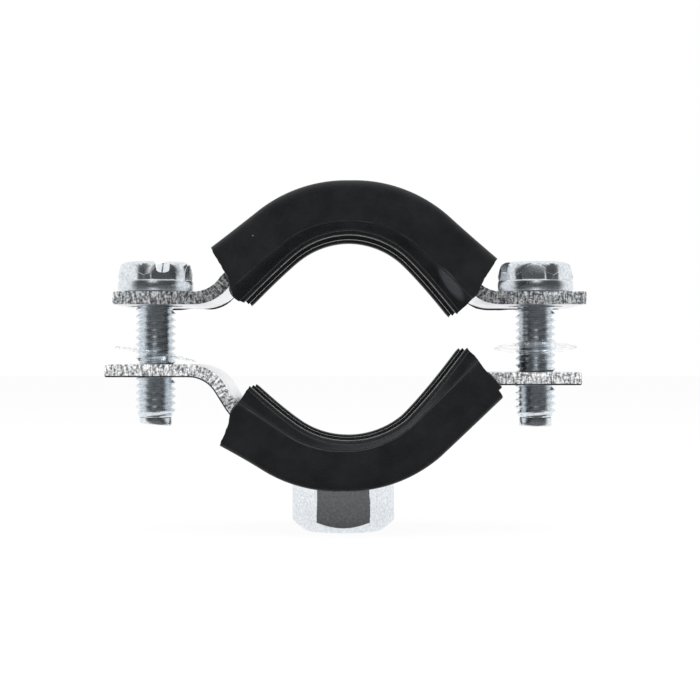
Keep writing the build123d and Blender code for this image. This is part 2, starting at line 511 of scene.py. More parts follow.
@dataclass(frozen=True)
class ExtrudedRubber:
    """Satin black rubber: faint draw lines along the profile, a few dust specks, a painted
    highlight.
    """

    name: str = "extruded_rubber"
    black: Colour = (0.0075, 0.0080, 0.0092, 1.0)
    worn: Colour = (0.0120, 0.0125, 0.0140, 1.0)
    dust: Colour = (0.3, 0.31, 0.32, 1.0)
    gloss: float = 0.26
    # painted highlight: a lighter patch on the upper lining's front near its right end
    painted_highlight: Colour = (0.04, 0.042, 0.046, 1.0)
    painted_highlight_middle: Point3 = (14.9, -11.5, 35.0)
    painted_highlight_reach: Point3 = (3.4, 2.0, 1.0)
    painted_highlight_turn: float = 55.0

    def build(self) -> bpy.types.Material:
        """Makes the material.

        Returns:
            The finished material.
        """
        shader = Shader(self.name, Roughness=0.42, Specular_IOR_Level=self.gloss)
        body = shader.place("Object", (1 / MM,) * 3)
        cloud = shader.speckle(body, 0.28, 3.0)
        grain = shader.speckle(body, 7.0, 3.0)
        drawn = shader.speckle(shader.place("UV", (0.05, 3.0, 1.0)), 1.0, 2.0)
        rubber = shader.ramp(cloud, [(0.35, self.black), (0.7, self.worn)])
        cells = shader.add(
            "ShaderNodeTexVoronoi", {"Vector": body, "Scale": 0.15, "Randomness": 1.0}
        ).outputs["Distance"]
        speck = shader.ramp(cells, [(0.009, grey(0.5)), (0.016, grey(0.0))])
        dusty = shader.add(
            "ShaderNodeMix", {"Factor": speck, "A": rubber, "B": self.dust}, data_type="RGBA"
        )
        # painted highlight: where the lighter patch lies, in the frame's millimetres
        highlight_place = shader.add(
            "ShaderNodeMapping",
            {
                "Vector": shader.add("ShaderNodeTexCoord").outputs["Object"],
                "Location": [value * MM for value in self.painted_highlight_middle],
                "Rotation": (0.0, math.radians(self.painted_highlight_turn), 0.0),
                "Scale": [value * MM for value in self.painted_highlight_reach],
            },
            vector_type="TEXTURE",
        )
        highlight_patch = shader.add(
            "ShaderNodeTexGradient", {"Vector": highlight_place.outputs[0]}, gradient_type="SPHERICAL"
        ).outputs["Fac"]
        highlight_patch = shader.spread(highlight_patch, 0.0, 1.0, 0.05, 0.4)
        shown = shader.add(
            "ShaderNodeMix",
            {"Factor": highlight_patch, "A": colour_output(dusty), "B": self.painted_highlight},
            data_type="RGBA",
        )
        shader.link(colour_output(shown), "Base Color")
        shader.link(shader.spread(cloud, 0.36, 0.52), "Roughness")
        shader.bump([(grain, 0.012), (drawn, 0.02)])
        return shader.material


@dataclass(frozen=True)
class HighlightRubber:
    """The rubber along the tips of the ribs: glossy, and lighter in colour as a painted highlight.
    rubbed smooth, so that it shines.
    """

    name: str = "rib_tip_highlight_rubber"
    black: Colour = (0.03, 0.031, 0.034, 1.0)
    highlight_grey: Colour = (0.085, 0.087, 0.092, 1.0)
    gloss: float = 0.6

    def build(self) -> bpy.types.Material:
        """Makes the material.

        Returns:
            The finished material.
        """
        shader = Shader(self.name, Roughness=0.2, Specular_IOR_Level=self.gloss)
        drawn = shader.speckle(shader.place("UV", (0.4, 3.0, 1.0)), 1.0, 3.0)
        shader.link(shader.ramp(drawn, [(0.4, self.black), (0.7, self.highlight_grey)]), "Base Color")
        shader.link(shader.spread(drawn, 0.12, 0.3), "Roughness")
        shader.bump([(drawn, 0.01)])
        return shader.material


@dataclass(frozen=True)
class CutRubber:
    """The rubber where a knife went through it: ragged and a little lighter."""

    name: str = "cut_rubber"
    black: Colour = (0.012, 0.0125, 0.014, 1.0)
    torn: Colour = (0.045, 0.046, 0.05, 1.0)

    def build(self) -> bpy.types.Material:
        """Makes the material.

        Returns:
            The finished material.
        """
        shader = Shader(self.name, Roughness=0.5, Specular_IOR_Level=0.5)
        body = shader.place("Object", (1 / MM,) * 3)
        tears = shader.speckle(body, 1.6, 6.0, 0.7)
        shader.link(shader.ramp(tears, [(0.45, self.black), (0.75, self.torn)]), "Base Color")
        shader.bump([(tears, 0.35)])
        return shader.material


@dataclass(frozen=True)
class ClearPlastic:
    """Thin clear sheet, stamped into washers: glossy with a few faint ripples."""

    name: str = "clear_plastic"
    tint: Colour = (0.95, 0.97, 0.975, 1.0)

    def build(self) -> bpy.types.Material:
        """Makes the material.

        Returns:
            The finished material.
        """
        shader = Shader(
            self.name, Base_Color=self.tint, Transmission_Weight=1.0, IOR=1.12, Alpha=0.5
        )
        body = shader.place("Object", (1 / MM,) * 3)
        ripples = shader.speckle(body, 0.5, 2.0)
        shader.link(shader.spread(ripples, 0.02, 0.1), "Roughness")
        shader.bump([(ripples, 0.05)])
        return shader.material


def colour_output(mix: bpy.types.Node) -> bpy.types.NodeSocket:
    """The colour output of a Mix node, which has one output for each kind of data."""
    return next(output for output in mix.outputs if output.type == "RGBA")


# --------------------------------------------------------------------------------------------
# sheet, bent along a line
# --------------------------------------------------------------------------------------------


@dataclass
class BendLine:
    """Middle of a bent sheet, seen from the front: straight runs joined by arcs.

    It runs from left to right. x is to the right and y from the pipe axis towards the crown.
    """

    corners: list[Point2]
    radii: list[float]
    runs: list[tuple[float, Vector, float, float]] = field(init=False)
    length: float = field(init=False)

    def __post_init__(self) -> None:
        """Works out the start, heading and bend of each run."""
        ends = [Vector(corner) for corner in self.corners]
        ways = [(b - a).normalized() for a, b in zip(ends, ends[1:])]
        self.runs = []
        start, at = 0.0, ends[0]
        for i, way in enumerate(ways):
            heading = math.atan2(way.y, way.x)
            if i == len(self.radii):
                self.runs.append((start, at, heading, 0.0))
                start += (ends[i + 1] - at).length
                continue
            turn = way.angle_signed(ways[i + 1]) * -1
            back = self.radii[i] * math.tan(abs(turn) / 2)
            stop = ends[i + 1] - way * back
            self.runs.append((start, at, heading, 0.0))
            start += (stop - at).length
            self.runs.append((start, stop, heading, math.copysign(1 / self.radii[i], turn)))
            start += self.radii[i] * abs(turn)
            at = ends[i + 1] + ways[i + 1] * back
        self.length = start

    def at(self, run: float) -> tuple[Vector, float]:
        """The point and the heading after a run along the line, which goes on at its ends.

        Args:
            run: the distance from the line's left end.

        Returns:
            The point, and the heading in radians.
        """
        last = self.runs[0]
        for piece in self.runs:
            if piece[0] <= run:
                last = piece
        start, origin, heading, bend = last
        ahead = run - start
        if bend == 0.0:
            return origin + Vector((math.cos(heading), math.sin(heading))) * ahead, heading
        turn = ahead * bend
        side = Vector((-math.sin(heading), math.cos(heading))) / bend
        centre = origin + side
        spun = Matrix.Rotation(turn, 2) @ (-side)
        return centre + spun, heading + turn

    def off(self, run: float, rise: float) -> Vector:
        """A point `rise` off the line towards the crown."""
        middle, heading = self.at(run)
        return middle + Vector((-math.sin(heading), math.cos(heading))) * rise


class Crown(Enum):
    """Which way a half's crown points."""

    UP = 1
    DOWN = -1


@dataclass
class Half:
    """One half of the clamp: where its pipe axis is and how its sheet is bent.

    Pairs are for the left and the right side. The knee is in the left flank: its run past the
    arc, the steeper angle beyond it and its radius.
    """

    crown: Crown
    axis_height: float
    shift: float
    ear_level: Point2
    flank_angle: Point2
    ear_reach: float
    knee: Point3
    arc_radius: float = 15.3
    ear_bend_radius: float = 5.2

    def place(self, flat: Vector, across: float) -> Vector:
        """A point of the half's front view, `across` along the pipe, in the frame's axes."""
        return Vector((self.shift + flat.x, across, self.axis_height + self.crown.value * flat.y))

    def flank_corner(self, angle: float, level: float) -> Point2:
        """Where a straight flank meets the ear's middle."""
        turn = math.radians(angle)
        return (self.arc_radius - level * math.cos(turn)) / math.sin(turn), level

    def flank_point(self, angle: float, run: float) -> Point2:
        """A point along the flank that leaves the arc at an angle from the crown."""
        turn = math.radians(angle)
        return (
            self.arc_radius * math.sin(turn) + run * math.cos(turn),
            self.arc_radius * math.cos(turn) - run * math.sin(turn),
        )

    def crown_corner(self) -> Point2:
        """Where the two flanks would meet beyond the crown.

        Returns:
            The corner, from the pipe axis.
        """
        left, right = (math.radians(angle) for angle in self.flank_angle)
        lean = (right - left) / 2
        reach = self.arc_radius / math.cos((left + right) / 2)
        return reach * math.sin(lean), reach * math.cos(lean)

    def sheet_line(self) -> BendLine:
        """Middle of the sheet from ear to ear.

        Returns:
            The line, with a knee in its left flank.
        """
        left, right = self.ear_level
        run, angle, radius = self.knee
        x, y = self.flank_point(self.flank_angle[0], run)
        toe = x + (y - left) / math.tan(math.radians(angle))
        corners = [
            (-self.ear_reach, left),
            (-toe, left),
            (-x, y),
            self.crown_corner(),
            self.flank_corner(self.flank_angle[1], right),
            (self.ear_reach, right),
        ]
        bend = self.ear_bend_radius
        return BendLine(corners, [bend, radius, self.arc_radius, bend])

    def lining_line(self, left_run: float, right_run: float) -> BendLine:
        """Middle of the sheet where the lining covers it: its arc and both straight flanks.

        Args:
            left_run: how much of the left flank is covered.
            right_run: how much of the right flank is covered.

        Returns:
            The line.
        """
        x, y = self.flank_point(self.flank_angle[0], left_run)
        end = self.flank_point(self.flank_angle[1], right_run)
        return BendLine([(-x, y), self.crown_corner(), end], [self.arc_radius])


@dataclass
class HalfBand:
    """A stamped half band: a flat blank with two holes, bent along its line."""

    name: str
    half: Half
    holes_x: Point2
    hole_radius: float
    rolled_side: int
    width: float = 20.0
    thickness: float = SHEET_THICKNESS
    corner_radius: float = 0.6
    corner_steps: int = 6
    step: float = 0.5
    ear_margin: float = 0.3
    end_margin: float = 1.0
    end_steps: int = 18
    hole_steps: int = 72
    edge_inset: float = 0.42
    edge_strip: float = 0.5
    roughness: float = 0.035
    tears_per_mm: float = 2.2
    back_burr: float = 0.0
    burr_fade: float = 0.4
    burr_span: Point2 = (1.5, 16.0)
    burr_seen: float = 0.06
    painted_dark_roll: bool = False
    line: BendLine = field(init=False)
    length: float = field(init=False)
    stations: list[float] = field(init=False)
    end_stations: list[float] = field(init=False)

    def __post_init__(self) -> None:
        """Works out the sheet's line and where its points stand along its edges."""
        self.line = self.half.sheet_line()
        self.length = self.line.length
        margin = self.end_margin
        inner = self.length - 2 * margin
        count = int(inner / self.step)
        self.stations = [margin + inner * k / count for k in range(count + 1)]
        reach = self.width / 2 - margin
        steps = self.end_steps
        self.end_stations = [-reach + k * reach / (steps / 2) for k in range(steps + 1)]

    def edge_profile(self) -> list[Point2]:
        """The sheared edge, from the rolled-over side to the burr side.

        Returns:
            The inset and the level of each of its points.
        """
        top = self.thickness / 2
        return [
            (self.edge_inset, top),
            (0.24, top - 0.02),
            (0.1, top - 0.09),
            (0.03, top - 0.22),
            (0.0, top - 0.45),
            (0.0, 0.1),
            (0.03, -0.35),
            (0.07, 0.1 - top),
            (0.09, 0.02 - top),
            (0.13, -top),
            (self.edge_inset, -top),
        ]

    def outline(self, inset: float) -> list[Point2]:
        """The blank's outline, starting at the left end's front corner.

        Args:
            inset: how far inside the blank's edge it runs.

        Returns:
            Its points, along and across the blank.
        """
        radius = self.corner_radius
        small = radius - min(inset, radius - 0.1)
        half, length = self.width / 2, self.length
        middles = [
            (radius, radius - half, 180),
            (length - radius, radius - half, 270),
            (length - radius, half - radius, 0),
            (radius, half - radius, 90),
        ]
        sides = [
            [(s, inset - half) for s in self.stations],
            [(length - inset, y) for y in self.end_stations],
            [(s, half - inset) for s in reversed(self.stations)],
            [(inset, y) for y in reversed(self.end_stations)],
        ]
        points: list[Point2] = []
        for (x, y, first), side in zip(middles, sides):
            for k in range(self.corner_steps + 1):
                turn = math.radians(first + 90 * k / self.corner_steps)
                points.append((x + small * math.cos(turn), y + small * math.sin(turn)))
            points += side
        return points

    def bend(self, along: float, across: float, level: float) -> Vector:
        """Carries a point of the flat blank onto the bent band."""
        return self.half.place(self.line.off(along, level), across)

    def walls(
        self, draft: MeshDraft, loops: list[list[Point2]], spread: list[float]
    ) -> tuple[list[int], list[int]]:
        """Adds the sheared edge round one outline.

        Args:
            draft: the mesh.
            loops: the outline at each level of the edge profile.
            spread: how far along the outline each of its points is.

        Returns:
            Point numbers of the first and the last level.
        """
        back = self.width / 2 - self.edge_strip
        pitch = self.tears_per_mm
        rows = []
        for (inset, level), loop in zip(self.edge_profile(), loops):
            signed = level * self.rolled_side
            wave = self.roughness * (0 < inset < self.edge_inset)
            row = []
            for s, y in loop:
                rise = signed + wave * 0.6 * wander(s * pitch, y * pitch, level)
                if level > 0 and inset < self.edge_inset and y > back:
                    rise += self.burr(s) * self.rolled_side * (1 - inset / self.burr_fade)
                row.append(self.bend(s, y, rise))
            rows.append(draft.add_row(row))
        levels = [level for _, level in self.edge_profile()]
        last = len(levels) - 2

        def finish(i: int, j: int) -> int:
            """The finish of a cell: 0 on the sheet, 1 on its edge, 2 painted dark on burrs and
            rolls.

            Args:
                i: the cell's level of the profile.
                j: its place along the outline.

            Returns:
                The material's number.
            """
            s, y = loops[i][j]
            # painted shadow: a raised burr's cells along the back edge are painted dark
            if i < 3 and y > back and self.burr(s) > self.burr_seen:
                return 2
            # painted dark reflection along the lower band's rolled front edge
            if self.painted_dark_roll and i in (1, 2) and y < -back:
                return 2
            return int(0 < i < last)

        draft.add_grid(rows, lambda i, j: (spread[j], levels[i]), closed=True, finish=finish)
        return rows[0], rows[-1]

    def build(self, finishes: list[bpy.types.Material]) -> bpy.types.Object:
        """Makes the band.

        Args:
            finishes: the sheet's, the sheared edges', and the painted dark one of burrs and rolls.

        Returns:
            The band's object.
        """
        draft = MeshDraft()
        insets = [inset for inset, _ in self.edge_profile()]
        widest = insets.index(0.0)
        outer = [self.outline(inset) for inset in insets]
        rims = [self.walls(draft, outer, running_length(outer[widest]))]
        flats = self.half.ear_reach
        places = [
            self.holes_x[0] - self.half.shift + flats,
            self.length - (flats - (self.holes_x[1] - self.half.shift)),
        ]
        circles = []
        for place in places:
            loops = [self.circle(place, self.hole_radius + inset) for inset in insets]
            circles.append(loops[0])
            rims.append(self.walls(draft, loops, running_length(loops[widest])))
        for side in (0, 1):
            self.fill(draft, outer[0], circles, [rim[side] for rim in rims])
        return draft.to_object(self.name, finishes)

    def burr(self, along: float) -> float:
        """How far a broken burr stands off the sheet along its back edge."""
        near_end = self.burr_span[0] < min(along, self.length - along) < self.burr_span[1]
        return self.back_burr * ease(0.75 + 1.6 * wander(along * 0.22)) * near_end

    def circle(self, place: float, radius: float) -> list[Point2]:
        """A hole's outline."""
        turns = [2 * math.pi * k / self.hole_steps for k in range(self.hole_steps)]
        return [(place + radius * math.cos(t), radius * math.sin(t)) for t in turns]

    def fill(
        self,
        draft: MeshDraft,
        outer: list[Point2],
        circles: list[list[Point2]],
        rims: list[list[int]],
    ) -> None:
        """Adds one face of the sheet: triangles in the flat ears and strips between them.

        Args:
            draft: the mesh.
            outer: the blank's outline.
            circles: both holes' outlines.
            rims: point numbers of the outline and of both holes.
        """
        count = len(self.stations)
        front = self.corner_steps + 1
        back = 3 * front + count + len(self.end_stations)
        total = len(outer)
        ear = next(k for k, s in enumerate(self.stations) if s > self.ear_flat(0))
        other = next(k for k, s in enumerate(self.stations) if s > self.ear_flat(1)) - 1
        left = [i % total for i in range(back + count - 1 - ear, total + front + ear + 1)]
        right = list(range(front + other, back + count - other))
        for numbers, circle, rim in ((left, circles[0], rims[1]), (right, circles[1], rims[2])):
            edge = [Vector((*outer[i], 0)) for i in numbers]
            hole = [Vector((*point, 0)) for point in circle]
            flat = edge + hole
            points = [rims[0][i] for i in numbers] + rim
            for triangle in tessellate_polygon([edge, hole]):
                draft.add_face(
                    tuple(points[i] for i in triangle), [tuple(flat[i].xy) for i in triangle]
                )
        strips = range(ear, other + 1)
        rows = [[rims[0][front + k], rims[0][back + count - 1 - k]] for k in strips]
        uv_y = (-self.width / 2, self.width / 2)
        draft.add_grid(rows, lambda i, j: (self.stations[ear + i], uv_y[j]))

    def ear_flat(self, side: int) -> float:
        """Where along the blank an ear's flat meets its bend.

        Args:
            side: 0 for the left ear, 1 for the right one.

        Returns:
            The place, a small margin inside the flat.
        """
        if side == 0:
            return self.line.runs[1][0] - self.ear_margin
        return self.line.runs[-1][0] + self.ear_margin


def running_length(loop: list[Point2]) -> list[float]:
    """How far each point of a closed loop is along it.

    Args:
        loop: the points.

    Returns:
        A length for each point, and the whole length at the end.
    """
    total, lengths = 0.0, [0.0]
    for a, b in zip(loop, loop[1:] + loop[:1]):
        total += math.dist(a, b)
        lengths.append(total)
    return lengths


# --------------------------------------------------------------------------------------------
# rubber lining
# --------------------------------------------------------------------------------------------


@dataclass(frozen=True)
class Bulge:
    """A swelling of a cut end: where it is on the section, how wide and how far it stands out."""

    across: float
    radius: float
    size: float
    reach: float


@dataclass(frozen=True)
class Settling:
    """How far the rubber has settled off its drawn section, away from the pipe axis.

    The five values stand at the left end, the left end of the arc, the crown, the right end of
    the arc and the right end.
    """

    pad: tuple[float, ...]
    shoulder: tuple[float, ...]
    lip: tuple[float, ...]
    end_power: float = 1.5

    def at(self, values: tuple[float, ...], run: float, marks: list[float]) -> float:
        """One value at a place along the lining.

        Args:
            values: the value at each of the five marks.
            run: the distance from the lining's left end.
            marks: where the five marks are.

        Returns:
            The value, eased towards both ends.
        """
        run = min(max(run, marks[0]), marks[-1])
        number = max(k for k in range(4) if marks[k] <= run)
        share = (run - marks[number]) / (marks[number + 1] - marks[number])
        if number == 0:
            share = 1 - (1 - share) ** self.end_power
        elif number == 3:
            share = share**self.end_power
        return values[number] + (values[number + 1] - values[number]) * share


@dataclass
class Lining:
    """Extruded rubber of C section, pushed onto a half band, its ends cut by hand.

    The floor, mouth, pad and lip are distances from the pipe axis, and the widths are halves
    of the lining's width, as both its sides are the same.
    """

    name: str
    half: Half
    left_run: float
    bulges: tuple[tuple[Bulge, ...], tuple[Bulge, ...]]
    settling: Settling
    bend_away: float | None = None
    length: float = 40.8
    floor: float = 14.35
    mouth: float = 16.25
    groove: float = 10.05
    pad: float = 12.55
    pad_half_width: float = 9.9
    bevel: float = 1.05
    half_width: float = 12.0
    lip: float = 19.65
    lip_mouth: float = 8.4
    lip_round: float = 1.1
    lip_inner_round: float = 0.7
    lip_tip: Point2 = (17.7, 17.4)
    round_steps: int = 5
    rib_width: float = 0.8
    rib_height: float = 0.5
    rib_spacing: float = 8.9
    rib_soft: float = 0.12
    skew: float = 9.0
    ragged: Point2 = (0.13, 0.06)
    cap_ragged: float = 0.12
    wave: float = 0.05
    wavy_from: Point2 = (11.0, 14.5)
    sheet: float = SHEET_THICKNESS
    bend_reach: float = 4.2
    roof_depth: float = 0.9
    roof_cover: float = 1.2
    lip_settles_below: float = 1.5
    stations: int = 110
    cap_steps: int = 6
    marks: list[float] = field(init=False)

    def __post_init__(self) -> None:
        """Works out where the lining's ends, its arc's ends and its crown are along it."""
        left, right = (math.radians(angle) for angle in self.half.flank_angle)
        crown = self.left_run + self.half.arc_radius * left
        arc_end = self.left_run + self.half.arc_radius * (left + right)
        self.marks = [0.0, self.left_run, crown, arc_end, self.length]

    def rib(self, across: float) -> float:
        """How far the ribs lift the pad.

        Args:
            across: the place along the pipe.

        Returns:
            The lift, which is none between the ribs.
        """
        nearest = min(abs(across - k * self.rib_spacing) for k in (-1, 0, 1))
        inside = self.rib_width / 2 + self.rib_soft - nearest
        return self.rib_height * ease(inside / (2 * self.rib_soft))

    def section(self) -> tuple[list[Point2], list[Point2]]:
        """The section from lip tip to lip tip.

        Returns:
            Points on the outside and the matching ones on the groove's side, across and from
            the pipe axis.
        """
        edge, foot = self.half_width, self.pad + self.bevel
        outer_round, inner_round = self.lip_round, self.lip_inner_round
        bend = 90 / self.round_steps
        keys: list[tuple[Point2, Point2, int]] = [
            ((self.pad_half_width - 0.15, self.pad), (self.pad_half_width - 0.4, self.floor), 40),
            ((self.pad_half_width + 0.15, self.pad + 0.06), (self.groove - 0.1, self.floor), 2),
            ((edge - 0.14, foot - 0.05), (self.groove, self.floor), 4),
            ((edge, foot + 0.12), (self.groove, self.floor + 0.1), 2),
            ((edge, self.mouth + 0.4), (self.groove, self.mouth), 7),
            ((edge, self.lip - outer_round), (self.groove - 0.35, self.mouth), 5),
        ]
        for k in range(1, self.round_steps + 1):
            turn = math.radians(bend * k)
            outer = (
                edge - outer_round + outer_round * math.cos(turn),
                self.lip - outer_round + outer_round * math.sin(turn),
            )
            keys.append((outer, (self.groove - 0.35 - 0.13 * k, self.mouth), 1))
        tip = self.lip_mouth + inner_round
        keys.append(((tip, self.lip), (self.lip_mouth + 0.2, self.mouth), 3))
        for k in range(1, self.round_steps + 1):
            turn = math.radians(90 + bend * k)
            outer = (
                tip + inner_round * math.cos(turn),
                self.lip - inner_round + inner_round * math.sin(turn),
            )
            keys.append((outer, (self.lip_mouth, self.mouth + 0.1 + 0.1 * k), 1))
        low_tip, inner_tip = self.lip_tip
        keys.append(((self.lip_mouth, low_tip), (self.lip_mouth, inner_tip), 3))
        outside: list[Point2] = [(0.0, self.pad)]
        inside: list[Point2] = [(0.0, self.floor)]
        for outer, inner, steps in keys:
            a, b = outside[-1], inside[-1]
            for k in range(1, steps + 1):
                t = k / steps
                outside.append((a[0] + (outer[0] - a[0]) * t, a[1] + (outer[1] - a[1]) * t))
                inside.append((b[0] + (inner[0] - b[0]) * t, b[1] + (inner[1] - b[1]) * t))
        outside = [(w, r - self.rib(w) * (r < self.pad + 0.01)) for w, r in outside]
        left = [(-w, r) for w, r in outside[:0:-1]], [(-w, r) for w, r in inside[:0:-1]]
        return left[0] + outside, left[1] + inside

    def finish_at(self, across: float, radius: float) -> int:
        """The finish here: 2 on the ribs' tips, 3 along the side's fold (painted highlights), 4 on
        the matt bevel.

        Args:
            across: the place along the pipe.
            radius: the distance from the pipe axis.

        Returns:
            The material's number.
        """
        foot = self.pad + self.bevel
        if radius < self.pad - 0.06:
            return 2
        if abs(across) > self.half_width - 0.2 and foot - 0.1 < radius < foot + 0.2:
            return 3
        return 4 * (self.pad_half_width < abs(across) and radius < foot - 0.02)

    def end_run(self, side: int, across: float, radius: float) -> float:
        """How far past its ideal end a point of the section runs.

        Args:
            side: 0 for the left end, 1 for the right one.
            across: the point's place along the pipe.
            radius: its distance from the pipe axis.

        Returns:
            The run, from the cut's lean, its bulges and its ragged face.
        """
        lean = math.tan(math.radians(self.skew)) * (self.half.arc_radius - radius)
        swell = 0.0
        for bulge in self.bulges[side]:
            gap = math.hypot(across - bulge.across, (radius - bulge.radius) * 1.6)
            swell += bulge.reach * math.exp(-((gap / bulge.size) ** 2))
        coarse, fine = self.ragged
        ragged = coarse * wander(across * 0.9, radius * 1.1, 7 * side + self.half.shift)
        ragged += fine * wander(across * 3.1, radius * 3.3, 3 + 5 * side)
        return lean + swell + ragged

    def opened(self, run: float, point: Point2) -> Point2:
        """Moves the groove's roof out where the band bends away inside the lining.

        Args:
            run: the distance past the arc's right end.
            point: the place along the pipe and the distance from the pipe axis.

        Returns:
            The point, moved if it is on the roof.
        """
        across, radius = point
        if self.bend_away is None or run <= self.bend_away:
            return point
        ahead = min(run - self.bend_away, self.bend_reach)
        near = self.half.ear_bend_radius - self.sheet / 2
        lift = near - math.sqrt(near**2 - ahead**2)
        if self.mouth - 0.01 <= radius < self.mouth + self.roof_depth:
            return across, min(radius + lift, self.lip - self.roof_cover)
        return point

    def settled(self, run: float, across: float, radius: float) -> float:
        """How far a point of the section has moved away from the pipe axis.

        Args:
            run: the distance from the lining's left end.
            across: the point's place along the pipe.
            radius: its distance from the pipe axis.

        Returns:
            The move, which is none inside the groove.
        """
        if abs(across) <= self.groove and self.floor - 0.02 <= radius <= self.mouth + 0.7:
            return 0.0
        pad, shoulder, lip = (
            self.settling.at(values, run, self.marks)
            for values in (self.settling.pad, self.settling.shoulder, self.settling.lip)
        )
        foot = self.pad + self.bevel
        if radius <= foot:
            share = min(max((radius - self.pad) / self.bevel, 0.0), 1.0)
            return pad + (shoulder - pad) * share
        share = min((radius - foot) / (self.lip - self.lip_settles_below - foot), 1.0)
        return shoulder + (lip - shoulder) * share

    def build(self, finishes: list[bpy.types.Material]) -> bpy.types.Object:
        """Makes the lining.

        Args:
            finishes: extruded, cut, rib tips' and fold's painted highlight, and matt rubber.

        Returns:
            The lining's object.
        """
        line = self.half.lining_line(self.left_run, self.length - self.marks[3])
        outside, inside = self.section()
        loop = outside + inside[::-1]
        around = running_length(loop)
        draft = MeshDraft()
        rows = []
        for k in range(self.stations + 1):
            share = k / self.stations
            row = []
            for across, radius in loop:
                start = -self.end_run(0, across, radius)
                stop = self.length + self.end_run(1, across, radius)
                run = start + (stop - start) * share
                row.append(self.point(line, run, (across, radius)))
            rows.append(draft.add_row(row))
        pitch = self.length / self.stations
        finish_at = [self.finish_at(*point) for point in loop + loop[:1]]
        draft.add_grid(
            rows,
            lambda i, j: (i * pitch, around[j]),
            closed=True,
            finish=lambda i, j: finish_at[j] if finish_at[j] == finish_at[j + 1] else 0,
        )
        for side, row in ((0, rows[0]), (1, rows[-1])):
            self.cap(draft, side, row, (outside, inside), line)
        return draft.to_object(self.name, finishes, sharp=40)

    def point(self, line: BendLine, run: float, where: Point2) -> Vector:
        """A point of the section carried along the lining, with the rubber's slight waviness.

        Args:
            line: the lining's line.
            run: the distance from the lining's left end.
            where: the place along the pipe and the distance from the pipe axis.

        Returns:
            The point, in the frame's axes.
        """
        across, radius = self.opened(run - self.marks[3], where)
        radius += self.settled(run, across, radius)
        side, depth = self.wavy_from
        if abs(across) > side and radius > depth:
            across += self.wave * wander(run * 0.22, radius * 0.3, across)
        return self.half.place(line.off(run, radius - self.half.arc_radius), across)

    def cap(
        self,
        draft: MeshDraft,
        side: int,
        row: list[int],
        section: tuple[list[Point2], list[Point2]],
        line: BendLine,
    ) -> None:
        """Closes one cut end with a ragged face.

        Args:
            draft: the mesh.
            side: 0 for the left end, 1 for the right one.
            row: the end's point numbers, the outside first and then the inside backwards.
            section: the outer points and the matching ones on the groove's side.
            line: the lining's line.
        """
        count = len(section[0])
        columns = [row[:count]]
        for step in range(1, self.cap_steps):
            share = step / self.cap_steps
            fresh = []
            for (w, r), (v, q) in zip(*section):
                across, radius = w + (v - w) * share, r + (q - r) * share
                run = self.end_run(side, across, radius)
                run += self.cap_ragged * wander(across * 2, radius * 2, 9)
                run = self.length + run if side else -run
                fresh.append(self.point(line, run, (across, radius)))
            columns.append(draft.add_row(fresh))
        columns.append(row[count:][::-1])
        draft.add_grid(columns, lambda i, j: (i * 0.3, j * 0.3), finish=lambda i, j: 1)


# --------------------------------------------------------------------------------------------
# screws, washers and nut
# --------------------------------------------------------------------------------------------


@dataclass
class HelicalThread:
    """A right-hand thread as one winding sheet of points."""

    middle: Point2
    low: float
    high: float
    crest: float
    root: float
    pitch: float
    lead_in: float = 0.0
    tip_radius: float = 0.0
    steps: int = 64

    def profile(self) -> list[Point2]:
        """One turn's section, from root to root.

        Returns:
            The share of the pitch and the radius of each of its points.
        """
        crest, root = self.crest, self.root
        soft = (crest - root) * 0.12
        return [
            (0.0, root),
            (0.06, root + soft * 0.4),
            (0.14, root + soft * 2),
            (0.42, crest - soft),
            (0.47, crest),
            (0.53, crest),
            (0.58, crest - soft),
            (0.86, root + soft * 2),
            (0.94, root + soft * 0.4),
        ]

    def limit(self, height: float) -> float:
        """The largest radius allowed at a height, as the thread fades into the tip.

        Args:
            height: the height.

        Returns:
            The radius, without a limit where there is no lead-in.
        """
        if self.lead_in == 0.0:
            return math.inf
        share = (height - self.low) / self.lead_in
        return self.tip_radius + (self.crest - self.tip_radius) * share

    def add_to(self, draft: MeshDraft) -> None:
        """Adds the thread.

        Args:
            draft: the mesh.
        """
        x, y = self.middle
        profile = self.profile()
        turns = math.ceil((self.high - self.low) / self.pitch) + 2
        start = self.low - 1.5 * self.pitch
        rows = []
        for turn in range(turns):
            for share, radius in profile:
                row = []
                for k in range(self.steps + 1):
                    angle = 2 * math.pi * k / self.steps
                    height = start + (turn + share + k / self.steps) * self.pitch
                    level = min(max(height, self.low), self.high)
                    size = min(radius, self.limit(level))
                    point = (x + size * math.cos(angle), y + size * math.sin(angle), level)
                    row.append(Vector(point))
                rows.append(draft.add_row(row))
        draft.add_grid(rows, lambda i, j: (j * 0.3, i * 0.1))


def ring(middle: Point2, radius: float, height: float, steps: int) -> list[Vector]:
    """A circle of points."""
    turns = [2 * math.pi * k / steps for k in range(steps)]
    return [
        Vector((middle[0] + radius * math.cos(t), middle[1] + radius * math.sin(t), height))
        for t in turns
    ]


def hexagon_radius(width: float, angle: float) -> float:
    """Radius of a hexagon `width` across its flats, at an angle from the middle of a flat."""
    turn = (angle + 30) % 60 - 30
    return width / 2 / math.cos(math.radians(turn))


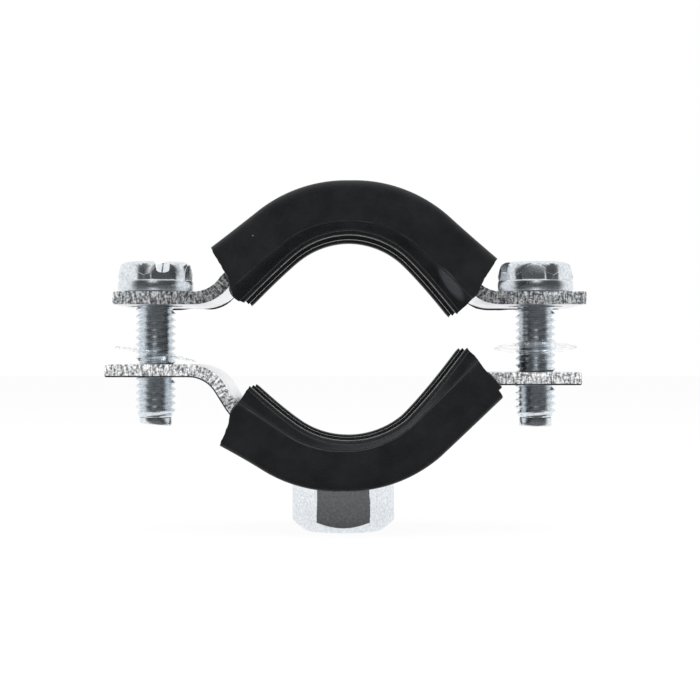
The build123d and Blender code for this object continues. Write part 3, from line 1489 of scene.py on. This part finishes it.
@dataclass
class FlangeScrew:
    """A one-piece hexagon flange screw with a slot, a cross recess and a real thread.

    The slot's flare is how far its mouth opens on each side, at `slot_above` over the head's top
    and at `slot_flare_depth` under it.
    """

    name: str
    x: float
    slot_angle: float
    tip_slant: float
    tip_hollow: float
    seat: float = 34.35
    length: float = 19.4
    crest: float = 2.9
    root: float = 2.36
    pitch: float = 1.0
    tip_radius: float = 2.35
    tip_length: float = 1.3
    tip_steps: int = 64
    lead_in: float = 0.9
    hex_width: float = 10.0
    hex_height: float = 2.65
    corner_trim: float = 5.45
    corner_soft: float = 0.12
    chamfer_radius: float = 4.1
    chamfer_drop: float = 0.42
    corner_slope: float = 3.6
    flange_radius: float = 5.46
    flange_height: float = 1.62
    slot_width: float = 2.0
    slot_depth: float = 1.7
    slot_floor_round: float = 0.45
    slot_floor_share: float = 0.94
    slot_steps: int = 8
    slot_above: float = 0.6
    slot_flare: Point2 = (0.22, 0.08)
    slot_flare_depth: float = 0.12
    cross_width: float = 1.3
    cross_length: float = 5.4
    cross_depth: float = 2.6
    edge: float = 0.14
    steps: int = 180

    @property
    def top(self) -> float:
        """Height of the head's top."""
        return self.seat + self.flange_height + self.hex_height

    def hexagon(self, angle: float) -> float:
        """Radius of the head's side, with its forged corners rounded.

        Args:
            angle: degrees from the slot.

        Returns:
            The radius.
        """
        flat = hexagon_radius(self.hex_width, angle)
        over = max(flat - self.corner_trim + self.corner_soft, 0.0)
        return flat - over * 0.75

    def head_rings(self) -> list[Ring]:
        """The head's rings from its top down to under the flange.

        Returns:
            For each ring, its radius and height as a function of the angle from the slot.
        """
        brow = self.hex_width / 2 - self.chamfer_radius

        def cone(radius: float) -> float:
            """Height of the head's rounded top.

            Args:
                radius: the distance from the screw's axis.

            Returns:
                The height, which falls off steeply past the flats towards the corners.
            """
            out = max(radius - self.chamfer_radius, 0.0)
            if out <= brow:
                return self.top - self.chamfer_drop * (out / brow) ** 1.8
            return self.top - self.chamfer_drop - (out - brow) * self.corner_slope

        def on_cone(share: float) -> Ring:
            """A ring part of the way from the chamfer's start to the head's side.

            Args:
                share: the part.

            Returns:
                The ring.
            """

            def at(angle: float) -> Point2:
                """Radius and height at an angle.

                Args:
                    angle: degrees from the slot.

                Returns:
                    The radius and the height.
                """
                last = self.hexagon(angle) - self.edge
                radius = self.chamfer_radius + (last - self.chamfer_radius) * share
                return radius, cone(radius)

            return at

        def shoulder(out: float, down: float) -> Ring:
            """A ring on the rounded edge between the cone and the side, by shares of it."""
            return lambda angle: (
                self.hexagon(angle) - self.edge * (1 - out),
                cone(self.hexagon(angle)) - self.edge * down,
            )

        def foot(gap: float) -> Ring:
            """A ring where the side meets the flange, a gap away from the side."""
            return lambda angle: (
                min(self.hexagon(angle) + gap, self.flange_radius - 0.17 + gap * 0.02),
                self.seat + self.flange_height + 0.06 * (gap == 0.0),
            )

        rings: list[Ring] = []
        for radius in (1.6, 3.0, self.chamfer_radius - 0.15, self.chamfer_radius):
            rings.append(lambda angle, radius=radius: (radius, self.top))
        rings += [on_cone(share) for share in (0.15, 0.35, 0.55, 0.72, 0.86, 1.0)]
        rings += [shoulder(0.5, 0.15), shoulder(0.85, 0.45), shoulder(1.0, 1.0)]
        rings += [foot(0.0), foot(0.12)]
        flange, tall = self.flange_radius, self.flange_height
        for radius, height in (
            (flange - 0.16, tall - 0.02),
            (flange - 0.09, tall - 0.1),
            (flange - 0.04, tall * 0.8),
            (flange, tall * 0.62),
            (flange + 0.01, tall * 0.46),
            (flange, tall * 0.3),
            (flange - 0.04, 0.2),
            (flange - 0.12, 0.05),
            (flange - 0.26, 0.0),
            (self.crest - 0.4, 0.0),
        ):
            rings.append(lambda angle, r=radius, h=height: (r, self.seat + h))
        return rings

    def head(self, finishes: list[bpy.types.Material]) -> bpy.types.Object:
        """Makes the head with its slot and recess.

        Args:
            finishes: the screw's material.

        Returns:
            The head's object.
        """
        draft = MeshDraft()
        rows = []
        facing = math.radians(self.slot_angle)
        for place in self.head_rings():
            row = []
            for k in range(self.steps):
                angle = 360 * k / self.steps
                radius, height = place(angle)
                turn = facing + math.radians(angle)
                x, y = self.x + radius * math.cos(turn), radius * math.sin(turn)
                row.append(Vector((x, y, height)))
            rows.append(draft.add_row(row))
        draft.add_grid(rows, lambda i, j: (j * 0.2, i * 0.3), closed=True)
        for row in (rows[0], rows[-1]):
            draft.add_face(tuple(row), [(0.0, 0.0)] * len(row))
        made = draft.to_object(self.name, finishes, sharp=38)
        cut(made, self.recesses(), sharp=30)
        return made

    def recesses(self) -> list[bpy.types.Object]:
        """The slot and both bars of the cross recess, as closed shapes."""
        return [self.slot(), self.cross_bar(0.0), self.cross_bar(90.0)]

    def slot(self) -> bpy.types.Object:
        """A long slot whose floor is rounded and whose mouth is a little wider.

        Returns:
            The closed shape.
        """
        half, floor = self.slot_width / 2, self.slot_floor_round
        wide, narrow = self.slot_flare
        above, below = self.slot_above, -self.slot_flare_depth
        outline = [(-half - wide, above), (-half - narrow, below)]
        for k in range(self.slot_steps + 1):
            turn = math.pi * (1 + k / self.slot_steps)
            down = -self.slot_depth + floor + floor * math.sin(turn)
            outline.append((half * self.slot_floor_share * math.cos(turn), down))
        outline += [(half + narrow, below), (half + wide, above)]
        reach = self.corner_trim + 1
        rows = [[(reach * end, y, z) for y, z in outline] for end in (-1, 1)]
        return self.recess(rows, 0.0, "slot")

    def cross_bar(self, turn: float) -> bpy.types.Object:
        """One bar of the cross recess, tapering to its floor.

        Args:
            turn: degrees from the slot.

        Returns:
            The closed shape.
        """
        rows = []
        for height, share in ((0.3, 1.03), (-1.4, 0.86), (-self.cross_depth, 0.5)):
            reach = self.cross_length / 2 * share
            half = self.cross_width / 2 * (0.5 + share / 2)
            corners = ((-1, -1), (1, -1), (1, 1), (-1, 1))
            rows.append([(reach * u, half * v, height) for u, v in corners])
        return self.recess(rows, turn, f"wedge_{int(turn)}")

    def recess(self, sections: list[list[Point3]], turn: float, name: str) -> bpy.types.Object:
        """A closed shape on the head, lofted through sections.

        Args:
            sections: points by their way along, aside and up from the middle of the head's top.
            turn: degrees from the slot.
            name: the shape's name.

        Returns:
            The closed shape.
        """
        draft = MeshDraft()
        angle = math.radians(self.slot_angle + turn)
        ahead = Vector((math.cos(angle), math.sin(angle), 0))
        aside = Vector((-math.sin(angle), math.cos(angle), 0))
        rows = []
        for section in sections:
            row = [
                Vector((self.x, 0, self.top + up)) + ahead * along + aside * off
                for along, off, up in section
            ]
            rows.append(draft.add_row(row))
        draft.add_grid(rows, lambda i, j: (0.0, 0.0), closed=True)
        for row in (rows[0], rows[-1]):
            draft.add_face(tuple(row), [(0.0, 0.0)] * len(row))
        return draft.to_object(f"{self.name}_{name}", [])

    def shank(self, finishes: list[bpy.types.Material]) -> bpy.types.Object:
        """Makes the threaded shank and the blank tip.

        Args:
            finishes: the screw's material.

        Returns:
            The shank's object.
        """
        draft = MeshDraft()
        tip = self.seat - self.length
        thread = HelicalThread(
            middle=(self.x, 0.0),
            low=tip + self.tip_length,
            high=self.seat + 0.05,
            crest=self.crest,
            root=self.root,
            pitch=self.pitch,
            lead_in=self.lead_in,
            tip_radius=self.tip_radius - 0.05,
        )
        thread.add_to(draft)
        rows = []
        levels = [
            (self.tip_radius - 0.25, self.tip_length + 0.02),
            (self.tip_radius - 0.04, self.tip_length - 0.1),
            (self.tip_radius, self.tip_length * 0.6),
            (self.tip_radius - 0.02, 0.18),
            (self.tip_radius - 0.1, 0.05),
            (self.tip_radius - 0.28, 0.0),
            (self.tip_radius - 0.6, self.tip_hollow * 0.7),
            (self.tip_radius * 0.4, self.tip_hollow),
            (0.02, self.tip_hollow),
        ]
        slope = math.tan(math.radians(self.tip_slant))
        for radius, rise in levels:
            row = []
            share = 1 - min(rise / self.tip_length, 1.0)
            for point in ring((self.x, 0.0), radius, tip + rise, self.tip_steps):
                away = (point.x - self.x - self.tip_radius) * slope * share
                rough = 0.05 * wander(point.x * 1.4, point.y * 1.4, rise * 3) * share
                row.append(point - Vector((0, 0, away + rough)))
            rows.append(draft.add_row(row))
        draft.add_grid(rows, lambda i, j: (j * 0.2, i * 0.2), closed=True)
        return draft.to_object(f"{self.name}_shank", finishes, sharp=50)

    def build(self, finishes: list[bpy.types.Material]) -> bpy.types.Object:
        """Makes the whole screw as one object."""
        return join(self.head(finishes), self.shank(finishes))


def join(first: bpy.types.Object, other: bpy.types.Object) -> bpy.types.Object:
    """Adds the other object's mesh to the first one.

    Args:
        first: the object that stays.
        other: the object that is used up.

    Returns:
        The first object.
    """
    work = bmesh.new()
    work.from_mesh(first.data)
    work.from_mesh(other.data)
    work.to_mesh(first.data)
    work.free()
    spare = other.data
    bpy.data.objects.remove(other)
    bpy.data.meshes.remove(spare)
    return first


@dataclass
class RetainingWasher:
    """A thin clear washer that tips on the thread it grips."""

    name: str
    middle: Point3
    lean: Point2
    radius: float = 6.0
    hole_radius: float = 3.06
    thickness: float = 0.3
    edge: float = 0.3
    dish: float = 0.25
    steps: int = 96

    def build(self, finishes: list[bpy.types.Material]) -> bpy.types.Object:
        """Makes the washer.

        Args:
            finishes: the washer's material.

        Returns:
            The washer's object.
        """
        draft = MeshDraft()
        half = self.thickness / 2
        outer, inner = self.radius, self.hole_radius
        slope_x, slope_y = (math.tan(math.radians(angle)) for angle in self.lean)
        section = [
            (inner + 0.05, half),
            (outer - self.edge, half),
            (outer - 0.08, half * 0.7),
            (outer, 0.0),
            (outer - 0.08, -half * 0.7),
            (outer - self.edge, -half),
            (inner + 0.05, -half),
            (inner, 0.0),
        ]
        rows = []
        for radius, level in section:
            row = []
            for flat in ring((0.0, 0.0), radius, 0.0, self.steps):
                sag = self.dish * ((radius - inner) / (outer - inner)) ** 2
                lift = slope_x * flat.x + slope_y * flat.y - sag
                row.append(Vector(self.middle) + Vector((flat.x, flat.y, level + lift)))
            rows.append(draft.add_row(row))
        rows.append(rows[0])
        draft.add_grid(rows, lambda i, j: (j * 0.3, i * 0.3), closed=True)
        return draft.to_object(self.name, finishes, sharp=60)


@dataclass
class ConnectionNut:
    """Hexagon connection nut with a threaded bore, its top shaped to the band's crown."""

    name: str
    half: Half
    width: float = 13.0
    face_radius: float = 5.7
    chamfer_angle: float = 41.0
    bore_crest: float = 3.32
    bore_root: float = 4.0
    pitch: float = 1.25
    mouth_radius: float = 4.1
    mouth_bevel: float = 0.2
    side_level: float = 6.0
    corner_round: float = 0.25
    edge: float = 0.12
    steps: int = 180

    def hexagon(self, angle: float) -> float:
        """Radius of the nut's side, a little rounded at the corners.

        Args:
            angle: degrees from the middle of a flat.

        Returns:
            The radius.
        """
        flat = hexagon_radius(self.width, angle)
        corner = hexagon_radius(self.width, 30)
        over = max(flat - corner + self.corner_round, 0.0)
        return flat - over * 0.5

    def crown(self, across: float) -> float:
        """Height of the band's outside above a place to the left or right."""
        crown_radius = self.half.arc_radius + SHEET_THICKNESS / 2
        return self.half.axis_height - math.sqrt(crown_radius**2 - across**2)

    def build(self, finishes: list[bpy.types.Material]) -> bpy.types.Object:
        """Makes the nut.

        Args:
            finishes: the nut's material.

        Returns:
            The nut's object.
        """
        draft = MeshDraft()
        slope = math.tan(math.radians(self.chamfer_angle))
        turns = [2 * math.pi * k / self.steps for k in range(self.steps)]
        sides = [self.hexagon(math.degrees(turn) + 30) for turn in turns]

        def row(place: Callable[[float], tuple[float, float | None]]) -> list[int]:
            """Adds one row round the nut.

            Args:
                place: gives a point's radius and height from the side's radius there, with
                    None for the height of the band's crown.

            Returns:
                The points' numbers.
            """
            points = []
            for turn, side in zip(turns, sides):
                radius, height = place(side)
                x, y = radius * math.cos(turn), radius * math.sin(turn)
                points.append(Vector((x, y, self.crown(x) if height is None else height)))
            return draft.add_row(points)

        def chamfer(side: float) -> float:
            """Height of the chamfer where the side is this far from the nut's axis."""
            return (side - self.face_radius) * slope

        bore = self.bore_crest + 0.2
        rows = [
            row(lambda side: (self.mouth_radius - 0.25, self.mouth_bevel)),
            row(lambda side: (self.mouth_radius, 0.03)),
            row(lambda side: (self.mouth_radius + 0.05, 0.0)),
            row(lambda side: (self.face_radius - 0.08, 0.0)),
            row(lambda side: (self.face_radius + 0.05, 0.05 * slope + 0.01)),
            row(lambda side: (side - self.edge, chamfer(side - self.edge))),
            row(lambda side: (side - self.edge * 0.3, chamfer(side) + self.edge * 0.2)),
            row(lambda side: (side, chamfer(side) + self.edge)),
            row(lambda side: (side, self.side_level)),
            row(lambda side: (side, None)),
            row(lambda side: (bore, None)),
        ]
        draft.add_grid(rows, lambda i, j: (j * 0.2, i * 0.4), closed=True)
        thread = HelicalThread(
            middle=(0.0, 0.0),
            low=self.mouth_bevel,
            high=self.crown(0.0) + 0.3,
            crest=self.bore_crest,
            root=self.bore_root,
            pitch=self.pitch,
        )
        thread.add_to(draft)
        return draft.to_object(self.name, finishes, sharp=30)


# --------------------------------------------------------------------------------------------
# studio
# --------------------------------------------------------------------------------------------


@dataclass(frozen=True)
class SoftLamp:
    """A square soft lamp, aimed at the clamp and unseen in reflections."""

    name: str
    place: Point3
    size: float
    power: float
    aim_height: float = 26.0

    def hang(self) -> None:
        """Adds the lamp to the scene."""
        data = bpy.data.lights.new(self.name, "AREA")
        data.shape = "SQUARE"
        data.size = self.size * MM
        data.energy = self.power
        made = bpy.data.objects.new(self.name, data)
        made.location = Vector(self.place) * MM
        aim = Vector((0, 0, self.aim_height * MM)) - made.location
        made.rotation_euler = aim.to_track_quat("-Z", "Y").to_euler()
        made.visible_glossy = False
        bpy.context.scene.collection.objects.link(made)


@dataclass
class Studio:
    """White table and surround, soft lamps, and the camera in front of the clamp.

    Metal sees a dark opening in front, with one bright upright strip in it. The angles are in
    degrees: a turn is to the right of the front, and a pair is where a soft step starts and
    where it is done.
    """

    camera_place: Point3 = (0.25, -235.0, 24.8)
    lens: float = 83.4
    sensor: float = 36.0
    image_width: int = 700
    image_middle: Point2 = (350.0, 350.0)
    camera_pixel: Point2 = (345.0, 358.0)
    fill_level: float = 0.62
    front_level: float = 0.07
    front_turn: float = 8.0
    dark_half_angle: float = 60.0
    light_half_angle: float = 92.0
    high_light: Point2 = (38.0, 62.0)
    strip_half_width: Point2 = (9.0, 17.0)
    strip_foot: Point2 = (16.0, 22.0)
    strip_turn: float = -3.0
    table_size: float = 4000.0
    table_glow: float = 0.94
    white_apron: Point2 = (7.0, 8.2)
    lamps: tuple[SoftLamp, ...] = (
        SoftLamp("overhead", (0.0, -40.0, 420.0), 420.0, 2.0),
        SoftLamp("left_side", (-380.0, -160.0, 180.0), 320.0, 0.8),
        SoftLamp("right_side", (380.0, -160.0, 180.0), 320.0, 0.8),
    )

    def off_front(
        self, add: AddNode, way: bpy.types.NodeSocket, turn: float
    ) -> bpy.types.NodeSocket:
        """How far round from the front a direction is, in radians.

        Args:
            add: adds a node to the tree at work.
            way: the direction.
            turn: where the front is, in degrees to the right.

        Returns:
            The angle's output.
        """
        split = add("ShaderNodeSeparateXYZ", {"Vector": way})
        ahead = add("ShaderNodeMath", {0: split.outputs["Y"], 1: -1.0}, operation="MULTIPLY")
        around = add(
            "ShaderNodeMath", {0: split.outputs["X"], 1: ahead.outputs[0]}, operation="ARCTAN2"
        )
        off = add(
            "ShaderNodeMath", {0: around.outputs[0], 1: math.radians(turn)}, operation="SUBTRACT"
        )
        return add("ShaderNodeMath", {0: off.outputs[0]}, operation="ABSOLUTE").outputs[0]

    def step(
        self, add: AddNode, value: bpy.types.NodeSocket, ends: Point2, low: float, high: float
    ) -> bpy.types.NodeSocket:
        """A soft step from low to high.

        Args:
            add: adds a node to the tree at work.
            value: what the step follows.
            ends: where it starts and where it is done.
            low: the level before the step.
            high: the level after it.

        Returns:
            The level's output.
        """
        sockets = {
            "Value": value,
            "From Min": ends[0],
            "From Max": ends[1],
            "To Min": low,
            "To Max": high,
        }
        made = add("ShaderNodeMapRange", sockets, interpolation_type="SMOOTHSTEP")
        return made.outputs["Result"]

    def larger(
        self, add: AddNode, one: bpy.types.NodeSocket, other: bpy.types.NodeSocket
    ) -> bpy.types.NodeSocket:
        """The larger of two values."""
        return add("ShaderNodeMath", {0: one, 1: other}, operation="MAXIMUM").outputs[0]

    def opening(self, add: AddNode, way: bpy.types.NodeSocket) -> bpy.types.NodeSocket:
        """The surround's brightness in a direction: dark in front and white at the sides.

        Args:
            add: adds a node to the tree at work.
            way: the direction.

        Returns:
            The brightness's output.
        """
        ends = math.radians(self.dark_half_angle), math.radians(self.light_half_angle)
        off = self.off_front(add, way, self.front_turn)
        return self.step(add, off, ends, self.front_level, 1.0)

    def camera(self) -> None:
        """Stands the camera level in front of the clamp."""
        data = bpy.data.cameras.new("camera")
        data.lens = self.lens
        data.sensor_width = self.sensor
        data.shift_x = (self.image_middle[0] - self.camera_pixel[0]) / self.image_width
        data.shift_y = (self.camera_pixel[1] - self.image_middle[1]) / self.image_width
        data.clip_start = 0.01
        data.clip_end = 10.0
        camera = bpy.data.objects.new("camera", data)
        camera.location = Vector(self.camera_place) * MM
        camera.rotation_euler = (math.radians(90), 0, 0)
        bpy.context.scene.collection.objects.link(camera)
        bpy.context.scene.camera = camera

    def world(self) -> None:
        """White surround, darker towards the open front for what metal reflects."""
        world = bpy.data.worlds.new("surround")
        bpy.context.scene.world = world
        world.use_nodes = True
        tree = world.node_tree
        tree.nodes.clear()

        add = partial(add_node, tree)
        way = add("ShaderNodeTexCoord").outputs["Generated"]
        rise = add("ShaderNodeSeparateXYZ", {"Vector": way}).outputs["Z"]
        high = [math.sin(math.radians(angle)) for angle in self.high_light]
        foot = [math.sin(math.radians(angle)) for angle in self.strip_foot]
        width = [math.radians(angle) for angle in self.strip_half_width]
        off = self.off_front(add, way, self.strip_turn)
        strip = add(
            "ShaderNodeMath",
            {0: self.step(add, off, width, 1.0, 0.0), 1: self.step(add, rise, foot, 0.0, 1.0)},
            operation="MULTIPLY",
        ).outputs[0]
        overhead = self.step(add, rise, high, 0.0, 1.0)
        front = self.larger(add, self.opening(add, way), overhead)
        front = self.larger(add, front, strip)
        path = add("ShaderNodeLightPath")
        mirrored = add("ShaderNodeBackground", {"Color": front, "Strength": 1.0})
        white = add("ShaderNodeBackground", {"Color": (1, 1, 1, 1), "Strength": 1.0})
        fill = add("ShaderNodeBackground", {"Color": (1, 1, 1, 1), "Strength": self.fill_level})
        seen = self.larger(
            add, path.outputs["Is Camera Ray"], path.outputs["Is Transmission Ray"]
        )
        shiny = add(
            "ShaderNodeMixShader",
            {
                "Fac": path.outputs["Is Glossy Ray"],
                1: fill.outputs["Background"],
                2: mirrored.outputs["Background"],
            },
        )
        whole = add(
            "ShaderNodeMixShader",
            {"Fac": seen, 1: shiny.outputs["Shader"], 2: white.outputs["Background"]},
        )
        output = add("ShaderNodeOutputWorld")
        tree.links.new(whole.outputs["Shader"], output.inputs["Surface"])

    def table(self) -> bpy.types.Object:
        """A white table top that keeps the clamp's soft shadow.

        Returns:
            The table's object.
        """
        half = self.table_size / 2
        draft = MeshDraft()
        corners = ((-half, -half), (half, -half), (half, half), (-half, half))
        numbers = draft.add_row([Vector((x, y, 0)) for x, y in corners])
        draft.add_face(tuple(numbers), [(0, 0), (1, 0), (1, 1), (0, 1)])
        shader = Shader("white_table", Base_Color=grey(0.9), Roughness=0.6)
        path = shader.add("ShaderNodeLightPath")
        where = shader.add("ShaderNodeTexCoord").outputs["Object"]
        front = self.opening(shader.add, where)
        place = shader.add("ShaderNodeSeparateXYZ", {"Vector": where}).outputs["Y"]
        near, far = self.white_apron
        apron = shader.spread(place, 0.0, 1.0, -far * MM, -near * MM)
        front = self.larger(shader.add, front, apron)
        direct = shader.add(
            "ShaderNodeMath", {0: 1.0, 1: path.outputs["Is Glossy Ray"]}, operation="SUBTRACT"
        )
        front = self.larger(shader.add, front, direct.outputs[0])
        glow = shader.add("ShaderNodeEmission", {"Color": front, "Strength": 1.0})
        seen = self.larger(
            shader.add, path.outputs["Is Camera Ray"], path.outputs["Is Glossy Ray"]
        )
        seen = self.larger(shader.add, seen, path.outputs["Is Transmission Ray"])
        share = shader.add(
            "ShaderNodeMath", {0: seen, 1: self.table_glow}, operation="MULTIPLY"
        )
        mixed = shader.add(
            "ShaderNodeMixShader",
            {
                "Fac": share.outputs[0],
                1: shader.surface.outputs["BSDF"],
                2: glow.outputs["Emission"],
            },
        )
        shader.tree.links.new(mixed.outputs["Shader"], shader.output.inputs["Surface"])
        made = draft.to_object("table_top", [shader.material])
        return made

    def build(self) -> None:
        """Sets up everything round the clamp."""
        bpy.context.scene.view_settings.view_transform = "Standard"
        self.camera()
        self.world()
        self.table()
        for lamp in self.lamps:
            lamp.hang()


# --------------------------------------------------------------------------------------------
# the clamp
# --------------------------------------------------------------------------------------------


@dataclass
class Piece:
    """A finished piece: its body, the node it stands for, and a finish slot's name, which is not
    used.
    """

    made: bpy.types.Object
    body: str
    node: str
    slot: str

    def settle(self) -> None:
        """Rides the piece on its body in its node's place."""
        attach(self.made, self.body)
        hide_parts(self.node)
        log.info("%s: %d faces on %s", self.made.name, len(self.made.data.polygons), self.body)


@dataclass
class PipeClamp:
    """The whole clamp, opened on its two screws."""

    screw_x: Point2 = (-27.17, 27.83)
    upper: Half = field(
        default_factory=lambda: Half(
            Crown.UP,
            axis_height=29.9,
            shift=0.9,
            ear_level=(3.25, 3.25),
            flank_angle=(39.0, 43.0),
            ear_reach=33.0,
            knee=(9.69, 55.0, 2.5),
        )
    )
    lower: Half = field(
        default_factory=lambda: Half(
            Crown.DOWN,
            axis_height=25.6,
            shift=0.0,
            ear_level=(2.6, 3.7),
            flank_angle=(33.5, 43.0),
            ear_reach=33.25,
            knee=(7.9, 58.0, 5.2),
        )
    )

    def bands(self) -> list[Piece]:
        """Both half bands.

        Returns:
            The upper one and the lower one.
        """
        sheet = GalvanisedSheet().build()
        # The same sheared steel in two tones: the upper band's edge darker as painted shade, the
        # lower band's lighter as painted light.
        shaded_upper_edge = ShearedEdge("sheared_edge_upper_painted_shade").build()
        lit_lower_edge = ShearedEdge(
            "sheared_edge_lower_painted_light",
            dark=grey(0.1, 0.04),
            middle=grey(0.48, 0.02),
            light=grey(0.97),
            metallic=0.25,
            bend_painted_shade=1.0,
        ).build()
        # painted shadow on the burrs and painted dark reflection on the lower band's rolled edge
        burr = PaintedDarkEdge().build()
        upper = HalfBand(
            "upper_band_steel",
            self.upper,
            self.screw_x,
            hole_radius=3.72,
            rolled_side=-1,
            back_burr=0.45,
        )
        lower = HalfBand(
            "lower_band_steel",
            self.lower,
            self.screw_x,
            hole_radius=3.05,
            rolled_side=1,
            # painted dark reflection on the rolled front edge
            painted_dark_roll=True,
        )
        return [
            Piece(upper.build([sheet, shaded_upper_edge, burr]), "upper_half", "upper_band", "band_steel"),
            Piece(lower.build([sheet, lit_lower_edge, burr]), "lower_half", "lower_band", "band_steel"),
        ]

    def linings(self) -> list[Piece]:
        """Both rubber linings.

        Returns:
            The upper one and the lower one.
        """
        finishes = [
            ExtrudedRubber().build(),
            CutRubber().build(),
            # painted highlights: lighter rubber along the rib tips and along the side's fold
            HighlightRubber().build(),
            HighlightRubber(
                "fold_highlight_rubber",
                black=(0.012, 0.0125, 0.014, 1.0),
                highlight_grey=(0.026, 0.027, 0.03, 1.0),
                gloss=0.35,
            ).build(),
            ExtrudedRubber("matt_rubber", gloss=0.08).build(),
        ]
        upper = Lining(
            "upper_lining_rubber",
            self.upper,
            left_run=9.2,
            bulges=((Bulge(-10.5, 13.2, 1.8, 0.9),), (Bulge(-11.0, 14.5, 2.2, 0.5),)),
            settling=Settling(
                pad=(-0.75, -0.03, 0.0, -0.18, -1.14),
                shoulder=(0.2, 0.5, 0.14, 0.35, 0.2),
                lip=(0.35, 0.17, -0.18, 0.32, 0.62),
            ),
        )
        lower = Lining(
            "lower_lining_rubber",
            self.lower,
            left_run=7.8,
            bulges=((Bulge(-11.0, 15.0, 2.0, 0.6),), (Bulge(-11.0, 16.5, 1.6, 0.4),)),
            settling=Settling(
                pad=(-0.92, -0.1, 0.22, 0.8, -0.75),
                shoulder=(0.2, 0.2, 0.0, 0.3, 0.0),
                lip=(0.62, 0.12, -0.42, 0.12, 0.0),
            ),
            bend_away=8.93,
        )
        return [
            Piece(upper.build(finishes), "upper_half", "upper_lining", "lining_rubber"),
            Piece(lower.build(finishes), "lower_half", "lower_lining", "lining_rubber"),
        ]

    def screws(self) -> list[Piece]:
        """Both flange screws.

        Returns:
            The left one and the right one.
        """
        finish = [BrightZinc().build()]
        left_x, right_x = self.screw_x
        left = FlangeScrew(
            "left_flange_screw", left_x, slot_angle=-72.0, tip_slant=6.0, tip_hollow=0.08
        )
        right = FlangeScrew(
            "right_flange_screw", right_x, slot_angle=-158.5, tip_slant=0.0, tip_hollow=0.5
        )
        return [
            Piece(left.build(finish), "left_screw", "left_screw", "screw_steel"),
            Piece(right.build(finish), "right_screw", "right_screw", "screw_steel"),
        ]

    def washers(self) -> list[Piece]:
        """Both clear retaining washers.

        Returns:
            The left one and the right one.
        """
        finish = [ClearPlastic().build()]
        left_x, right_x = self.screw_x
        left = RetainingWasher("left_clear_washer", (left_x, 0.0, 25.6), lean=(-10.0, 0.0))
        right = RetainingWasher("right_clear_washer", (right_x, 0.0, 26.5), lean=(0.0, -6.0))
        return [
            Piece(left.build(finish), "left_washer", "left_retaining_washer", "clear_plastic"),
            Piece(right.build(finish), "right_washer", "right_retaining_washer", "clear_plastic"),
        ]

    def nut(self) -> list[Piece]:
        """The connection nut."""
        made = ConnectionNut("connection_nut_steel", self.lower).build([SpeckledZinc().build()])
        return [Piece(made, "lower_half", "connection_nut", "nut_steel")]

    def build(self) -> None:
        """Builds every piece and settles it on its body."""
        for pieces in (self.bands(), self.linings(), self.screws(), self.washers(), self.nut()):
            for piece in pieces:
                piece.settle()


def main() -> None:
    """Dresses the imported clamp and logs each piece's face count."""
    logging.basicConfig(level=logging.INFO, format="%(name)s: %(message)s")
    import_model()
    Studio().build()
    PipeClamp().build()


if __name__ == "__main__":
    main()
